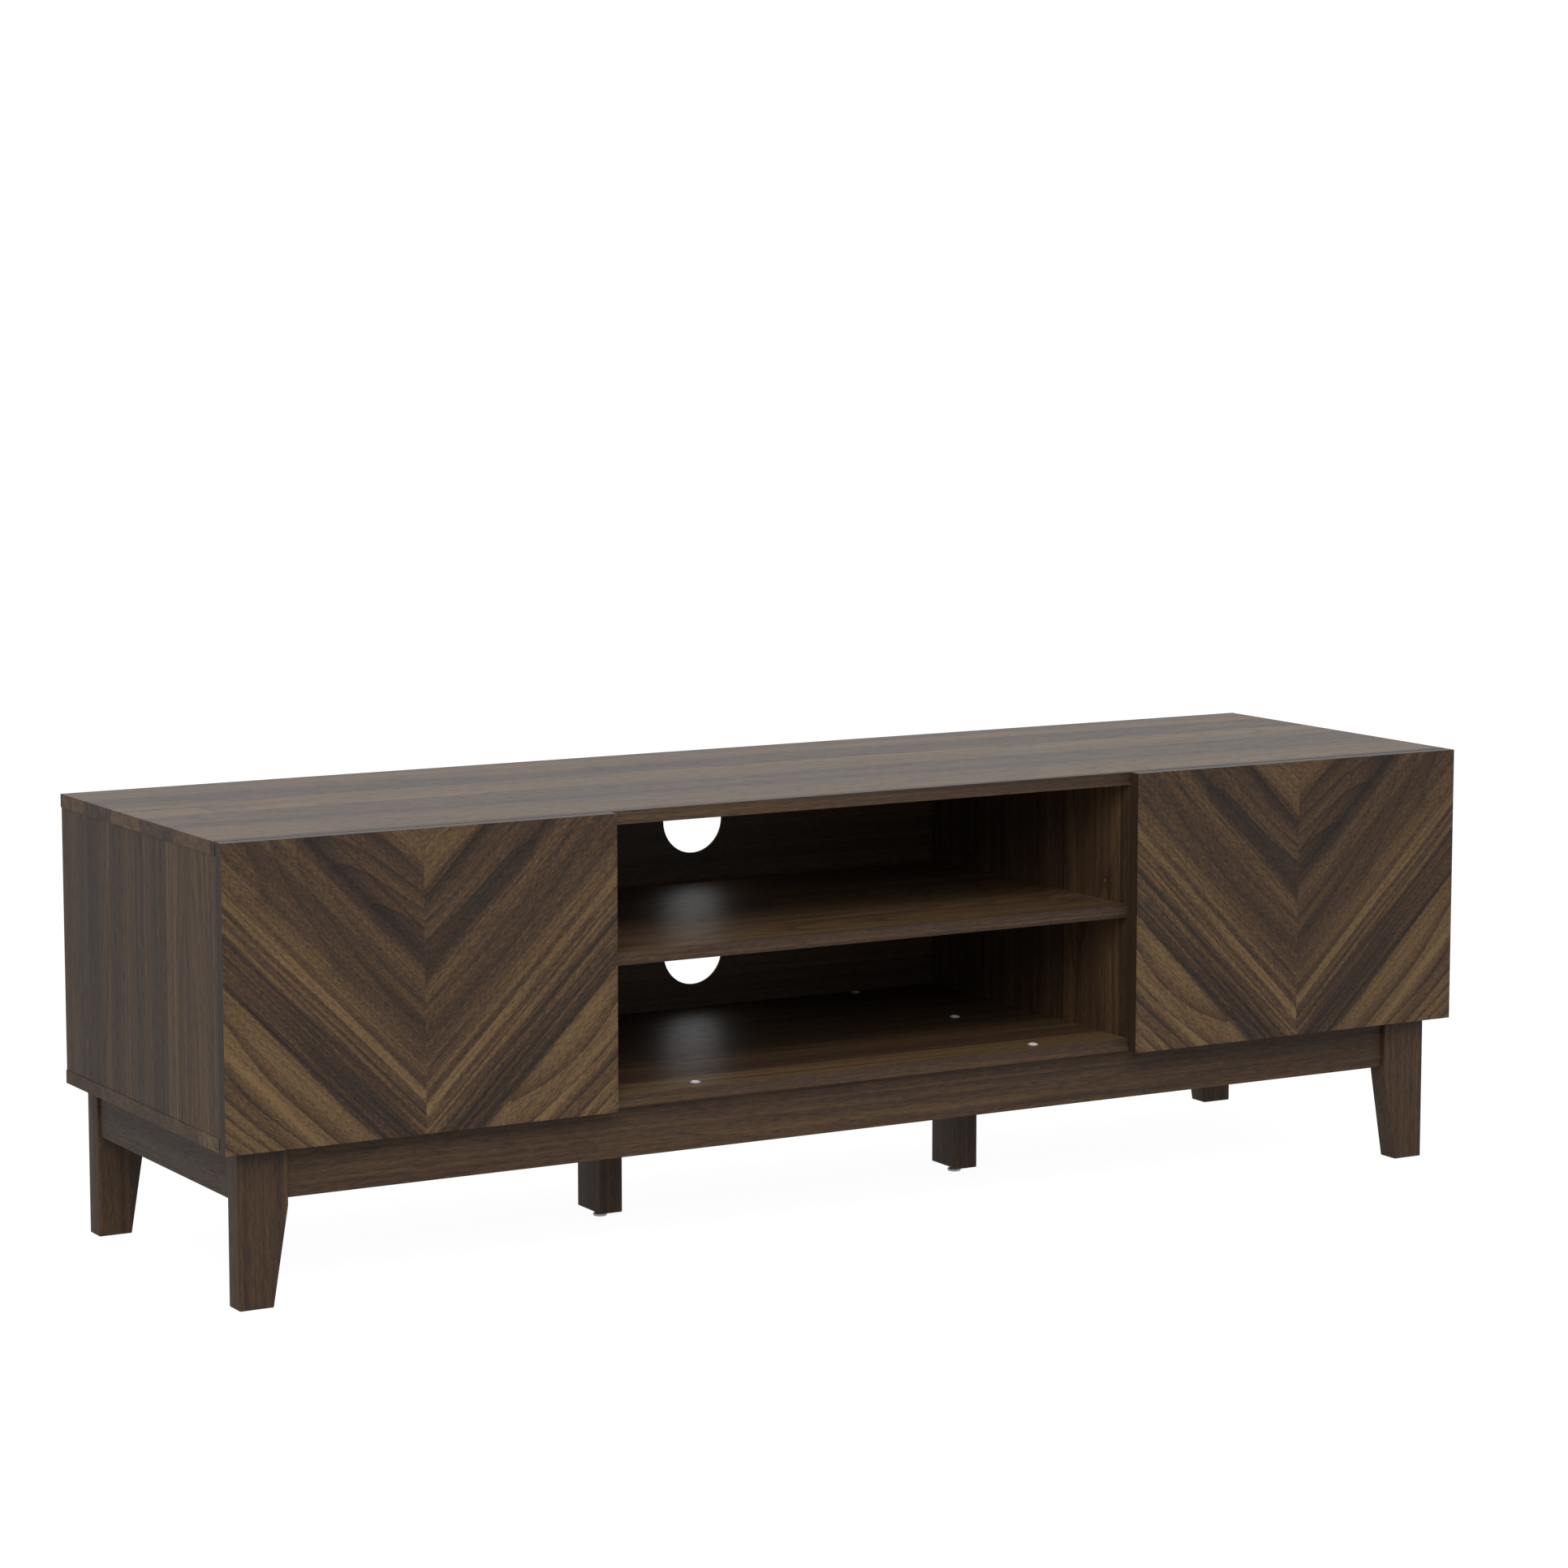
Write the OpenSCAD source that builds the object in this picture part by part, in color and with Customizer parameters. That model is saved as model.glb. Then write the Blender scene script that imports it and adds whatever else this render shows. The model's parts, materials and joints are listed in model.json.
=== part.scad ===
// Low cabinet on legs: an open middle bay with one shelf between two cupboards with doors.
// Millimetres. Origin on the floor, centred; +X is right, +Y is back, +Z is up.

/* [Overall] */
// Width over the ends of the top
body_w = 1600; // [1330:10:2000]
// Depth from the door face to the rear edge of the top
body_d = 455; // [375:5:600]
// Height of the cabinet box without its base
case_h = 327.5; // [270:0.5:420]
// Height of the base, floor to the underside of the box
base_h = 172.5; // [120:0.5:260]

/* [Boards] */
// Thickness of the carcass boards
board_t = 15; // [15:0.5:19]
// How far each side board stands in from the ends of the top
side_inset = 1; // [0.5:0.5:3]
// Thickness of the back sheet
back_t = 3; // [2:0.5:5]
// Depth of the grooves that hold the back sheet
groove_deep = 6; // [4:0.5:8]
// Clearance of the back sheet in its grooves, on each side
groove_play = 0.2; // [0.1:0.05:0.5]
// Distance from the rear edges to the back sheet
back_inset = 4; // [2:0.5:15]

/* [Shelves] */
// Height of the middle shelf's top surface above the bottom board
shelf_rise = 157; // [130:1:180]
// Distance of the middle shelf's front edge behind the edge of the top
shelf_setback = 3; // [1:1:40]
// Distance of the cupboard shelves' front edges behind the edge of the top
cab_shelf_setback = 14; // [8:1:40]
// Gap behind the middle shelf for cables
cable_gap = 26; // [15:1:60]
// Gap between the cupboard shelves and the back sheet
cab_shelf_gap = 51.5; // [10:0.5:90]
// Distance of the cupboard shelves' middle plane below the top board
cab_shelf_drop = 117.5; // [112:0.5:122]

/* [Cable holes] */
// Diameter of both cable holes in the back sheet
cable_hole_d = 80; // [50:1:100]
// Distance of each hole's centre from the board above or below it
hole_from_board = 68.5; // [60:0.5:72]

/* [Doors] */
// Width of a door
door_w = 460; // [380:5:520]
// Thickness of a door
door_t = 15; // [15:0.5:19]
// Gap between a door's back face and the side boards
door_gap = 1.5; // [1.5:0.1:3]
// Gap between a door's back face and the edges of the top and bottom
edge_gap = 2.5; // [2.5:0.1:4]
// Height of the lower hinge above a door's lower edge, and of the upper one below its upper edge
hinge_end = 75; // [60:1:110]

/* [Hinges] */
// Diameter of the hinge cup
cup_d = 35; // [35:0.5:35]
// Depth of the cup in the door
cup_deep = 11.5; // [11:0.5:12]
// Wall of the cup
cup_wall = 0.7; // [0.6:0.1:1]
// Distance from the door's outer edge to the cup
cup_edge = 4.5; // [4:0.5:5]
// Distance from the door's outer edge to the pivot in the cup
cup_pin_edge = 12.9; // [12.5:0.1:13.5]
// Depth of the pivot in the cup, below the door's back face
cup_pin_deep = 3.5; // [3.5:0.1:4.5]
// Distance from the door's outer edge to the pivot on the arm
arm_pin_edge = 46; // [45:0.5:46]
// Distance of the pivot on the arm behind the door's back face
arm_pin_back = 4.3; // [4:0.1:5]
// Thickness of the link that joins the two pivots
link_t = 3; // [2:0.2:3]
// Diameter of the hinge pins
pin_d = 2; // [1.6:0.1:2.4]
// Radial clearance of a pin that turns in its hole
pin_play = 0.05; // [0.02:0.01:0.1]

/* [Push latches] */
// Width of the latch housing
latch_w = 14; // [12:1:18]
// Height of the latch housing
latch_h = 15; // [14:1:18]
// Length of the latch housing
latch_l = 60; // [55:1:80]
// Diameter of the latch plunger
plunger_d = 8; // [6:0.5:9]
// How far the plunger comes out as its door opens
plunger_travel = 10; // [6:1:12]
// Distance from the divider to the middle of the latch
latch_from_divider = 24; // [16:1:60]

/* [Base] */
// Distance of the legs in from the ends of the top
leg_inset_x = 22.5; // [15:0.5:60]
// Distance of the front legs behind the door face
leg_inset_front = 22.5; // [20:0.5:60]
// Distance of the rear legs in from the rear edge of the top
leg_inset_rear = 6.5; // [2:0.5:40]
// Width of a leg at its top
leg_w = 57; // [45:1:80]
// Thickness of a leg
leg_t = 28; // [24:1:40]
// Width of a corner leg at the floor
leg_foot_w = 39; // [25:1:45]
// How far a corner leg runs straight below its aprons before it tapers
taper_drop = 6.5; // [2:0.5:30]
// Height of the aprons
apron_h = 58; // [45:1:60]
// Thickness of the aprons
apron_t = 20; // [18:1:24]
// Distance of the front apron behind the faces of its legs
front_apron_inset = 7; // [2:0.5:8]
// Distance of the side aprons in from the outer faces of their legs
side_apron_inset = 3; // [1:0.5:5]
// Distance of each middle leg's centre from the middle of the cabinet
mid_leg_x = 240; // [150:5:300]
// Gap between a middle leg and the floor
mid_leg_gap = 8; // [6:0.5:15]

/* [Levellers] */
// Diameter of the leveller's foot
foot_d = 16; // [12:1:24]
// Height of the leveller's foot
foot_h = 4.5; // [3:0.5:6]
// Diameter of the leveller's stem
stem_d = 6; // [5:1:8]
// Length of stem above the foot
stem_l = 26; // [20:1:36]
// Radial clearance of the stem in its insert
stem_play = 0.08; // [0.02:0.01:0.1]

/* [Joinery] */
// Diameter of a cam lock
cam_d = 15; // [12:0.5:15]
// Depth of a cam lock
cam_deep = 12; // [11:0.5:12.5]
// Distance from a board's end to the middle of its cam lock
cam_reach = 34; // [24:1:34]
// Diameter of a cam bolt's shank
bolt_d = 6; // [5:0.5:7]
// Length of a cam bolt's thread
thread_l = 10; // [8:0.5:11]
// Diameter of a dowel
dowel_d = 8; // [6:1:8]
// Length of a dowel
dowel_l = 30; // [20:1:30]
// Radial clearance of fixings in their holes
hole_play = 0.15; // [0.1:0.05:0.3]
// Distance of the outer cam bolts from the middle of the depth
cam_span = 145; // [90:5:165]
// Distance of the dowels from the middle of the depth
dowel_span = 75; // [40:5:90]
// Diameter of the screw heads on the bottom board
head_d = 12; // [8:1:14]

/* [Hidden] */
$fn = 48;
eps = 0.01;

// Places of the boards
front_y = -body_d / 2;
rear_y = body_d / 2;
door_back_y = front_y + door_t;
edge_y = door_back_y + edge_gap;
side_y = door_back_y + door_gap;
body_h = base_h + case_h;
floor_z = base_h + board_t;
ceil_z = body_h - board_t;
side_x = body_w / 2 - side_inset;
bay_x = body_w / 2 - door_w;
side_mid = side_x - board_t / 2;
divider_mid = bay_x + board_t / 2;
back_y = rear_y - back_inset - back_t;
shelf_y = edge_y + shelf_setback;
shelf_top_z = floor_z + shelf_rise;
cab_shelf_y = edge_y + cab_shelf_setback;
cab_shelf_z = ceil_z - cab_shelf_drop;
cab_shelf_back_y = back_y - cab_shelf_gap;
hole_zs = [floor_z + hole_from_board, ceil_z - hole_from_board];

// Places of the base
leg_x = body_w / 2 - leg_inset_x;
leg_front_y = front_y + leg_inset_front;
leg_rear_y = rear_y - leg_inset_rear;
base_mid_y = (leg_front_y + leg_rear_y) / 2;
apron_z = base_h - apron_h;
taper_start = apron_z - taper_drop;
apron_x = leg_x - leg_w;
front_apron_y = leg_front_y + front_apron_inset;
side_apron_x = leg_x - side_apron_inset - apron_t;
bracket_l = 30;
bracket_w = 24;
bracket_t = 2;
bracket_screw_l = 11;

// Fixings
case_mid_y = (side_y + back_y) / 2;
cam_ys = [case_mid_y - cam_span, case_mid_y + cam_span];
dowel_ys = [case_mid_y - dowel_span, case_mid_y + dowel_span];
shelf_mid_y = (shelf_y + back_y - cable_gap) / 2;
shelf_cam_ys = [shelf_mid_y - cam_span, shelf_mid_y + cam_span];
hole_spare = 1;
bolt_mouth_d = bolt_d + 1.5;
bolt_neck_d = bolt_d - 2.5;
bolt_neck_z = cam_reach - 4;
bolt_head_z = cam_reach - 2;
bolt_end_z = cam_reach + 1.5;
screw_from_end = 36;
screw_ys = [cab_shelf_y + screw_from_end, cab_shelf_back_y - screw_from_end];
screw_d = 4;
pilot_d = screw_d - 2 * hole_play;
core_d = screw_d - 4 * hole_play;
screw_l = 40;
shelf_head_d = 7;
shelf_head_t = 2;
pin_in_side = 10;
pin_in_shelf = 25;
base_screw_d = 5;
base_screw_l = 45;
head_t = 1.6;
head_taper = 3;
base_screw_from_divider = 117;
base_screw_from_leg = 100;
base_screw_in = bay_x - base_screw_from_divider;
base_screw_out = apron_x - base_screw_from_leg;
base_screw_xs = [for (s = [-1, 1]) for (x = [base_screw_in, base_screw_out]) s * x];
base_screw_ys = [front_apron_y + apron_t / 2, leg_rear_y - apron_t / 2];
mid_bolt_l = 60;
insert_d = 10;
insert_l = 14;

// Hinges, in the plane of the left door's outer edge
cup_x = cup_edge + cup_d / 2;
hinge_zs = [base_h + hinge_end, body_h - hinge_end];
pivot_x = -body_w / 2 + cup_pin_edge;
pivot_y = door_back_y - cup_pin_deep;
arm_pin_x = -body_w / 2 + arm_pin_edge;
arm_pin_y = door_back_y + arm_pin_back;
link_h = 12;
cheek_t = 1.5;
cheek_play = 0.3;
arm_pin_r = 3.2;
link_r = link_t / 2 + 0.2;
plate_l = 40;
plate_w = 50;
plate_t = 4;
plate_y = side_y + 30;
spine_w = 16;
wing_t = 2;
wing_inset = 11;
plate_screw_z = 16;
plate_screw_l = 11;
flange_t = 0.8;
ear_x = 5.5;
ear_z = 24;
ear_d = 9;
cup_screw_l = 9;
cup_head_t = 0.5;
strike_t = 1;
strike_play = 0.4;
latch_x = bay_x + board_t + latch_from_divider;
latch_z = ceil_z - latch_h / 2;
plunger_tip_y = door_back_y + strike_t + strike_play;
plunger_guide = 22;
plunger_l = plunger_guide + plunger_travel;
latch_wall = 3;
spring_gap = 1;
spring_l = latch_l - plunger_l - 10;
spring_turns = 7;
strike_d = 15;
strike_screw_l = 9;
ear_w = 9;
ear_t = 2;
ear_ys = [22, 42];
bumper_d = 8;
bumper_t = 1.1;
bumper_in = 20;

wood = [0.20, 0.14, 0.11];
door_wood = [0.42, 0.30, 0.21];
pale_wood = [0.75, 0.62, 0.45];
steel = [0.72, 0.72, 0.74];

// ---------- shared shapes ----------
module box(low, high) {
    translate(low) cube(high - low);
}

// A round rod or hole from one height to another
module rod(d, z0, z1) {
    translate([0, 0, z0]) cylinder(d = d, h = z1 - z0);
}

// Copies the children onto the right half as a mirror image
module on_side(s) {
    mirror([s > 0 ? 1 : 0, 0, 0]) children();
}

// The ends of the uprights: local +Z points into the upright, local +X to its cupboard side
module at_upright_ends(x, ys, face) {
    for (y = ys) {
        translate([x, y, floor_z]) scale_x(face) children();
        translate([x, y, ceil_z]) mirror([0, 0, 1]) scale_x(face) children();
    }
}

module scale_x(face) {
    mirror([face < 0 ? 1 : 0, 0, 0]) children();
}

// Every upright of the carcass: [middle plane, side its cupboard is on]
uprights = [[-side_mid, 1], [-divider_mid, -1], [divider_mid, 1], [side_mid, -1]];

module at_all_upright_ends(ys) {
    for (u = uprights) at_upright_ends(u[0], ys, u[1]) children();
}

// The ends of the middle shelf: local +Z points into the shelf, local +X points down
module at_shelf_ends(ys) {
    for (s = [-1, 1]) for (y = ys) {
        translate([s * bay_x, y, shelf_top_z - board_t / 2])
            mirror([s > 0 ? 1 : 0, 0, 0]) rotate([0, 90, 0]) children();
    }
}

// Cam lock: a disc sunk in the board's face, open on the side that the bolt's head enters
module cam_lock() {
    difference() {
        translate([board_t / 2 - cam_deep, 0, cam_reach]) rotate([0, 90, 0])
            cylinder(d = cam_d - 2 * hole_play, h = cam_deep);
        rod(bolt_mouth_d, cam_reach - cam_d, cam_reach + 3);
        translate([board_t / 2, 0, cam_reach]) cube([2, 1.4, cam_d / 2], center = true);
    }
}

module cam_pocket() {
    translate([board_t / 2 - cam_deep - 0.3, 0, cam_reach]) rotate([0, 90, 0])
        cylinder(d = cam_d, h = cam_deep + hole_spare);
    rod(bolt_mouth_d, -hole_spare, cam_reach);
}

module cam_bolt() {
    rod(bolt_d - 1, -thread_l, 0);
    rod(bolt_d, 0, bolt_neck_z);
    rod(bolt_neck_d, bolt_neck_z - eps, bolt_head_z);
    rod(bolt_d, bolt_head_z - eps, bolt_end_z);
}

module thread_hole() {
    rod(bolt_d - 1 + 2 * hole_play, -thread_l - 0.5, hole_spare);
}

module dowel_hole(d, l) {
    rod(d + 2 * hole_play, -l / 2 - 0.5, l / 2 + 0.5);
}

// Wood left above the end of a dowel
dowel_cover = 5;
dowel_in_top = board_t - dowel_cover;
module carcass_dowel(play) {
    rod(dowel_d + 2 * play, -dowel_in_top - play, dowel_l - dowel_in_top + play);
}

// ---------- carcass ----------
// Top and bottom share one outline; z0 is the underside and s is +1 where the uprights hang below
module flat_board(z0) {
    difference() {
        color(wood) box([-body_w / 2, edge_y, z0], [body_w / 2, rear_y, z0 + board_t]);
        at_all_upright_ends(cam_ys) thread_hole();
        at_all_upright_ends(dowel_ys) carcass_dowel(hole_play);
        back_groove();
        base_screw_holes();
    }
}

// Room for the back sheet, cut out of the boards around it
module back_groove() {
    g = groove_deep + groove_play;
    box([-side_x + board_t - g, back_y - groove_play, floor_z - g],
        [side_x - board_t + g, back_y + back_t + groove_play, ceil_z + g]);
}

module top_panel() { flat_board(ceil_z); }

module bottom_panel() { flat_board(base_h); }

module side_panel(s) {
    on_side(s) color(wood) difference() {
        box([-side_x, side_y, floor_z], [-side_x + board_t, rear_y, ceil_z]);
        at_upright_ends(-side_mid, cam_ys, 1) cam_pocket();
        at_upright_ends(-side_mid, dowel_ys, 1) carcass_dowel(hole_play);
        back_groove();
        at_plate_screws() rod(screw_d + 2 * hole_play, -plate_screw_l - hole_spare, hole_spare);
        at_shelf_pins() rod(screw_d + 2 * hole_play, -pin_in_side - 0.5, hole_spare);
    }
}

module left_side_panel() { side_panel(-1); }
module right_side_panel() { side_panel(1); }

module divider(s) {
    on_side(s) color(wood) difference() {
        box([-bay_x - board_t, side_y, floor_z], [-bay_x, back_y - groove_play, ceil_z]);
        at_upright_ends(-divider_mid, cam_ys, -1) cam_pocket();
        at_upright_ends(-divider_mid, dowel_ys, -1) carcass_dowel(hole_play);
        at_shelf_ends(shelf_cam_ys) thread_hole();
        at_shelf_screws() {
            rod(screw_d + 2 * hole_play, -hole_spare, board_t + hole_spare);
            rod(shelf_head_d + 2 * hole_play, -hole_spare, shelf_head_t + 0.6);
        }
    }
}

module left_divider() { divider(-1); }
module right_divider() { divider(1); }

module center_shelf() {
    color(wood) difference() {
        box([-bay_x, shelf_y, shelf_top_z - board_t], [bay_x, back_y - cable_gap, shelf_top_z]);
        at_shelf_ends(shelf_cam_ys) cam_pocket();
    }
}

module cabinet_shelf(s) {
    on_side(s) color(wood) difference() {
        box([-side_x + board_t, cab_shelf_y, cab_shelf_z - board_t / 2],
            [-bay_x - board_t, cab_shelf_back_y, cab_shelf_z + board_t / 2]);
        at_shelf_screws() rod(screw_d + 2 * hole_play, 0, screw_l + hole_spare);
        at_shelf_pins() rod(screw_d + 2 * hole_play, -hole_spare, pin_in_shelf + hole_spare);
    }
}

module left_cabinet_shelf() { cabinet_shelf(-1); }
module right_cabinet_shelf() { cabinet_shelf(1); }

module back_panel() {
    color(wood) difference() {
        box([-side_x + board_t - groove_deep, back_y, floor_z - groove_deep],
            [side_x - board_t + groove_deep, back_y + back_t, ceil_z + groove_deep]);
        for (z = hole_zs)
            translate([0, back_y - hole_spare, z]) rotate([-90, 0, 0])
                cylinder(d = cable_hole_d, h = back_t + 2 * hole_spare, $fn = 96);
    }
}

// ---------- joinery ----------
module cam_locks() {
    color(steel) {
        at_all_upright_ends(cam_ys) cam_lock();
        at_shelf_ends(shelf_cam_ys) cam_lock();
    }
}

module cam_bolts() {
    color(steel) {
        at_all_upright_ends(cam_ys) cam_bolt();
        at_shelf_ends(shelf_cam_ys) cam_bolt();
    }
}

module carcass_dowels() {
    color(pale_wood) at_all_upright_ends(dowel_ys) carcass_dowel(0);
}

// Left divider's screw places: local +Z runs from the bay into the cupboard shelf
module at_shelf_screws() {
    for (y = screw_ys) translate([-bay_x, y, cab_shelf_z]) rotate([0, -90, 0]) children();
}

// Pins between the side board and the outer end of the cupboard shelf: local +Z runs into the shelf
module at_shelf_pins() {
    for (y = screw_ys) translate([-side_x + board_t, y, cab_shelf_z]) rotate([0, 90, 0]) children();
}

module shelf_screws() {
    color(steel) for (s = [-1, 1]) on_side(s) {
        at_shelf_screws() {
            rod(screw_d, shelf_head_t, screw_l);
            rod(shelf_head_d, 0.4, shelf_head_t + 0.4);
        }
    }
}

module shelf_pins() {
    color(steel) for (s = [-1, 1]) on_side(s) at_shelf_pins() rod(screw_d, -pin_in_side, pin_in_shelf);
}

// ---------- base ----------
module apron_screw_holes(z0) {
    for (x = base_screw_xs) for (y = base_screw_ys) translate([x, y, 0])
        rod(base_screw_d + 2 * hole_play, z0, floor_z + hole_spare);
}

module base_screw_holes() {
    apron_screw_holes(base_h - hole_spare);
    for (s = [-1, 1]) translate([s * mid_leg_x, base_mid_y, 0])
        rod(base_screw_d + 2 * hole_play, base_h - hole_spare, floor_z + hole_spare);
}

module head_and_shank(l) {
    rod(base_screw_d, floor_z - l, floor_z);
    translate([0, 0, floor_z]) cylinder(d1 = head_d, d2 = head_d - head_taper, h = head_t);
}

module base_screws() {
    color(steel) for (x = base_screw_xs) for (y = base_screw_ys)
        translate([x, y, 0]) head_and_shank(base_screw_l);
}

module middle_leg_bolts() {
    color(steel) for (s = [-1, 1]) translate([s * mid_leg_x, base_mid_y, 0])
        head_and_shank(mid_bolt_l);
}

// Two dowels in each end of an apron; local +Z points into the apron
module at_apron_end_dowels() {
    for (z = [apron_z + apron_h / 4, base_h - apron_h / 4]) translate([0, 0, z]) children();
}

module at_long_apron_dowels(y) {
    for (s = [-1, 1]) on_side(s) translate([-apron_x, y, 0]) at_apron_end_dowels()
        rotate([0, 90, 0]) children();
}

module at_side_apron_dowels() {
    for (s = [-1, 1]) on_side(s) translate([-side_apron_x - apron_t / 2, 0, 0]) {
        translate([0, leg_front_y + leg_t, 0]) at_apron_end_dowels() rotate([-90, 0, 0]) children();
        translate([0, leg_rear_y - leg_t, 0]) at_apron_end_dowels() rotate([90, 0, 0]) children();
    }
}

module at_base_dowels() {
    at_long_apron_dowels(base_screw_ys[0]) children();
    at_long_apron_dowels(base_screw_ys[1]) children();
    at_side_apron_dowels() children();
}

module base_dowels() {
    color(pale_wood) at_base_dowels() rod(dowel_d, -dowel_l / 2, dowel_l / 2);
}

module long_apron(y0) {
    color(wood) difference() {
        box([-apron_x, y0, apron_z], [apron_x, y0 + apron_t, base_h]);
        at_base_dowels() dowel_hole(dowel_d, dowel_l);
        apron_screw_holes(floor_z - base_screw_l - hole_spare);
    }
}

module front_apron() { long_apron(front_apron_y); }
module rear_apron() { long_apron(leg_rear_y - apron_t); }

module side_apron(s) {
    on_side(s) color(wood) difference() {
        box([-side_apron_x - apron_t, leg_front_y + leg_t, apron_z],
            [-side_apron_x, leg_rear_y - leg_t, base_h]);
        at_base_dowels() dowel_hole(dowel_d, dowel_l);
        at_bracket_screws() rod(pilot_d, -bracket_screw_l - hole_spare, hole_spare);
    }
}

module left_apron() { side_apron(-1); }
module right_apron() { side_apron(1); }

// Corner leg: straight down to taper_start, then narrower to the floor on its inner face
module corner_leg(s, y0) {
    on_side(s) color(wood) difference() {
        translate([0, y0 + leg_t, 0]) rotate([90, 0, 0]) linear_extrude(leg_t)
            polygon([[-leg_x, 0], [-leg_x + leg_foot_w, 0], [-apron_x, taper_start],
                [-apron_x, base_h], [-leg_x, base_h]]);
        at_base_dowels() dowel_hole(dowel_d, dowel_l);
        at_bracket_screws() rod(pilot_d, -bracket_screw_l - hole_spare, hole_spare);
    }
}

module front_left_leg() { corner_leg(-1, leg_front_y); }
module front_right_leg() { corner_leg(1, leg_front_y); }
module rear_left_leg() { corner_leg(-1, leg_rear_y - leg_t); }
module rear_right_leg() { corner_leg(1, leg_rear_y - leg_t); }

// The two inner corners between a left leg and its side apron
module at_left_corners() {
    translate([-side_apron_x, leg_front_y + leg_t, apron_z + apron_h / 2]) children();
    translate([-side_apron_x, leg_rear_y - leg_t, apron_z + apron_h / 2]) mirror([0, 1, 0]) children();
}

// Bracket screws: local +Z points out of the wood
module at_bracket_screws() {
    at_left_corners() {
        translate([0, bracket_l * 0.6, 0]) rotate([0, 90, 0]) children();
        translate([bracket_l * 0.6, 0, 0]) rotate([-90, 0, 0]) children();
    }
}

module corner_brackets() {
    color(steel) for (s = [-1, 1]) on_side(s) difference() {
        at_left_corners() {
            box([0, 0, -bracket_w / 2], [bracket_t, bracket_l, bracket_w / 2]);
            box([0, 0, -bracket_w / 2], [bracket_l, bracket_t, bracket_w / 2]);
        }
        at_bracket_screws() rod(screw_d + 2 * hole_play, -hole_spare, bracket_t + hole_spare);
    }
}

module bracket_screws() {
    color(steel) for (s = [-1, 1]) on_side(s) at_bracket_screws() {
        rod(core_d, -bracket_screw_l, bracket_t);
        rod(shelf_head_d, bracket_t, bracket_t + shelf_head_t);
    }
}

module middle_leg(s) {
    x = s * mid_leg_x;
    color(wood) difference() {
        box([x - leg_t / 2, base_mid_y - leg_w / 2, mid_leg_gap],
            [x + leg_t / 2, base_mid_y + leg_w / 2, base_h]);
        translate([x, base_mid_y, 0]) {
            rod(base_screw_d + 2 * hole_play, floor_z - mid_bolt_l - hole_spare, base_h + hole_spare);
            rod(insert_d + 2 * hole_play, mid_leg_gap - hole_spare, mid_leg_gap + insert_l + 0.2);
            rod(stem_d + 1, mid_leg_gap, foot_h + stem_l + 8);
        }
    }
}

module left_middle_leg() { middle_leg(-1); }
module right_middle_leg() { middle_leg(1); }

module leveller_inserts() {
    color("goldenrod") for (s = [-1, 1]) translate([s * mid_leg_x, base_mid_y, 0]) difference() {
        rod(insert_d, mid_leg_gap, mid_leg_gap + insert_l);
        rod(stem_d + 2 * stem_play, mid_leg_gap - hole_spare, mid_leg_gap + insert_l + hole_spare);
    }
}

// A low round foot with a chamfered rim on a stem
module leveller(s) {
    color(steel) translate([s * mid_leg_x, base_mid_y, 0]) rotate_extrude()
        polygon([[0, 0], [foot_d / 2 - 1, 0], [foot_d / 2, 1], [foot_d / 2, foot_h - 1.5],
            [foot_d / 2 - 2, foot_h - 0.5], [stem_d / 2 + 1, foot_h], [stem_d / 2, foot_h],
            [stem_d / 2, foot_h + stem_l], [0, foot_h + stem_l]]);
}

module left_leveller() { leveller(-1); }
module right_leveller() { leveller(1); }

// ---------- hinges ----------
module at_hinges() {
    for (z = hinge_zs) translate([0, 0, z]) children();
}

module at_plate_screws() {
    at_hinges() for (e = [-1, 1]) translate([-side_x + board_t, plate_y + plate_l / 2, e * plate_screw_z])
        rotate([0, 90, 0]) children();
}

// Cross plate on the side board: a raised spine for the arm and two wings for the screws
module hinge_plates() {
    x = -side_x + board_t;
    color(steel) for (s = [-1, 1]) on_side(s) difference() {
        at_hinges() {
            box([x, plate_y, -spine_w / 2], [x + plate_t, plate_y + plate_l, spine_w / 2]);
            box([x, plate_y + wing_inset, -plate_w / 2],
                [x + wing_t, plate_y + plate_l - wing_inset, plate_w / 2]);
        }
        at_plate_screws() rod(screw_d + 2 * hole_play, -hole_spare, plate_t + hole_spare);
    }
}

module hinge_plate_screws() {
    color(steel) for (s = [-1, 1]) on_side(s) at_plate_screws() {
        rod(screw_d, -plate_screw_l, wing_t);
        rod(shelf_head_d, wing_t, wing_t + shelf_head_t);
    }
}

// Side view of the arm: over the spine, then out to the pivot
arm_back_y = plate_y + plate_l + 4;
module arm_outline() {
    x = -side_x + board_t + plate_t;
    polygon([[x, plate_y - 6], [x, arm_back_y], [x + 7, arm_back_y], [x + 9, plate_y + 8],
        [arm_pin_x + arm_pin_r, arm_pin_y + 4], [arm_pin_x + arm_pin_r, arm_pin_y],
        [arm_pin_x - arm_pin_r, arm_pin_y], [arm_pin_x - arm_pin_r, arm_pin_y + 4]]);
}

module hinge_arms() {
    slot = link_h / 2 + cheek_play;
    color(steel) for (s = [-1, 1]) on_side(s) at_hinges() difference() {
        union() {
            translate([0, 0, -slot - cheek_t]) linear_extrude(2 * (slot + cheek_t)) arm_outline();
            translate([arm_pin_x, arm_pin_y, 0]) rod(2 * arm_pin_r, -slot - cheek_t, slot + cheek_t);
        }
        box([arm_pin_x - 14, arm_pin_y - 6, -slot], [arm_pin_x + 6, arm_pin_y + 9, slot]);
        translate([arm_pin_x, arm_pin_y, 0]) rod(pin_d + 2 * hole_play, -20, 20);
    }
}

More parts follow.
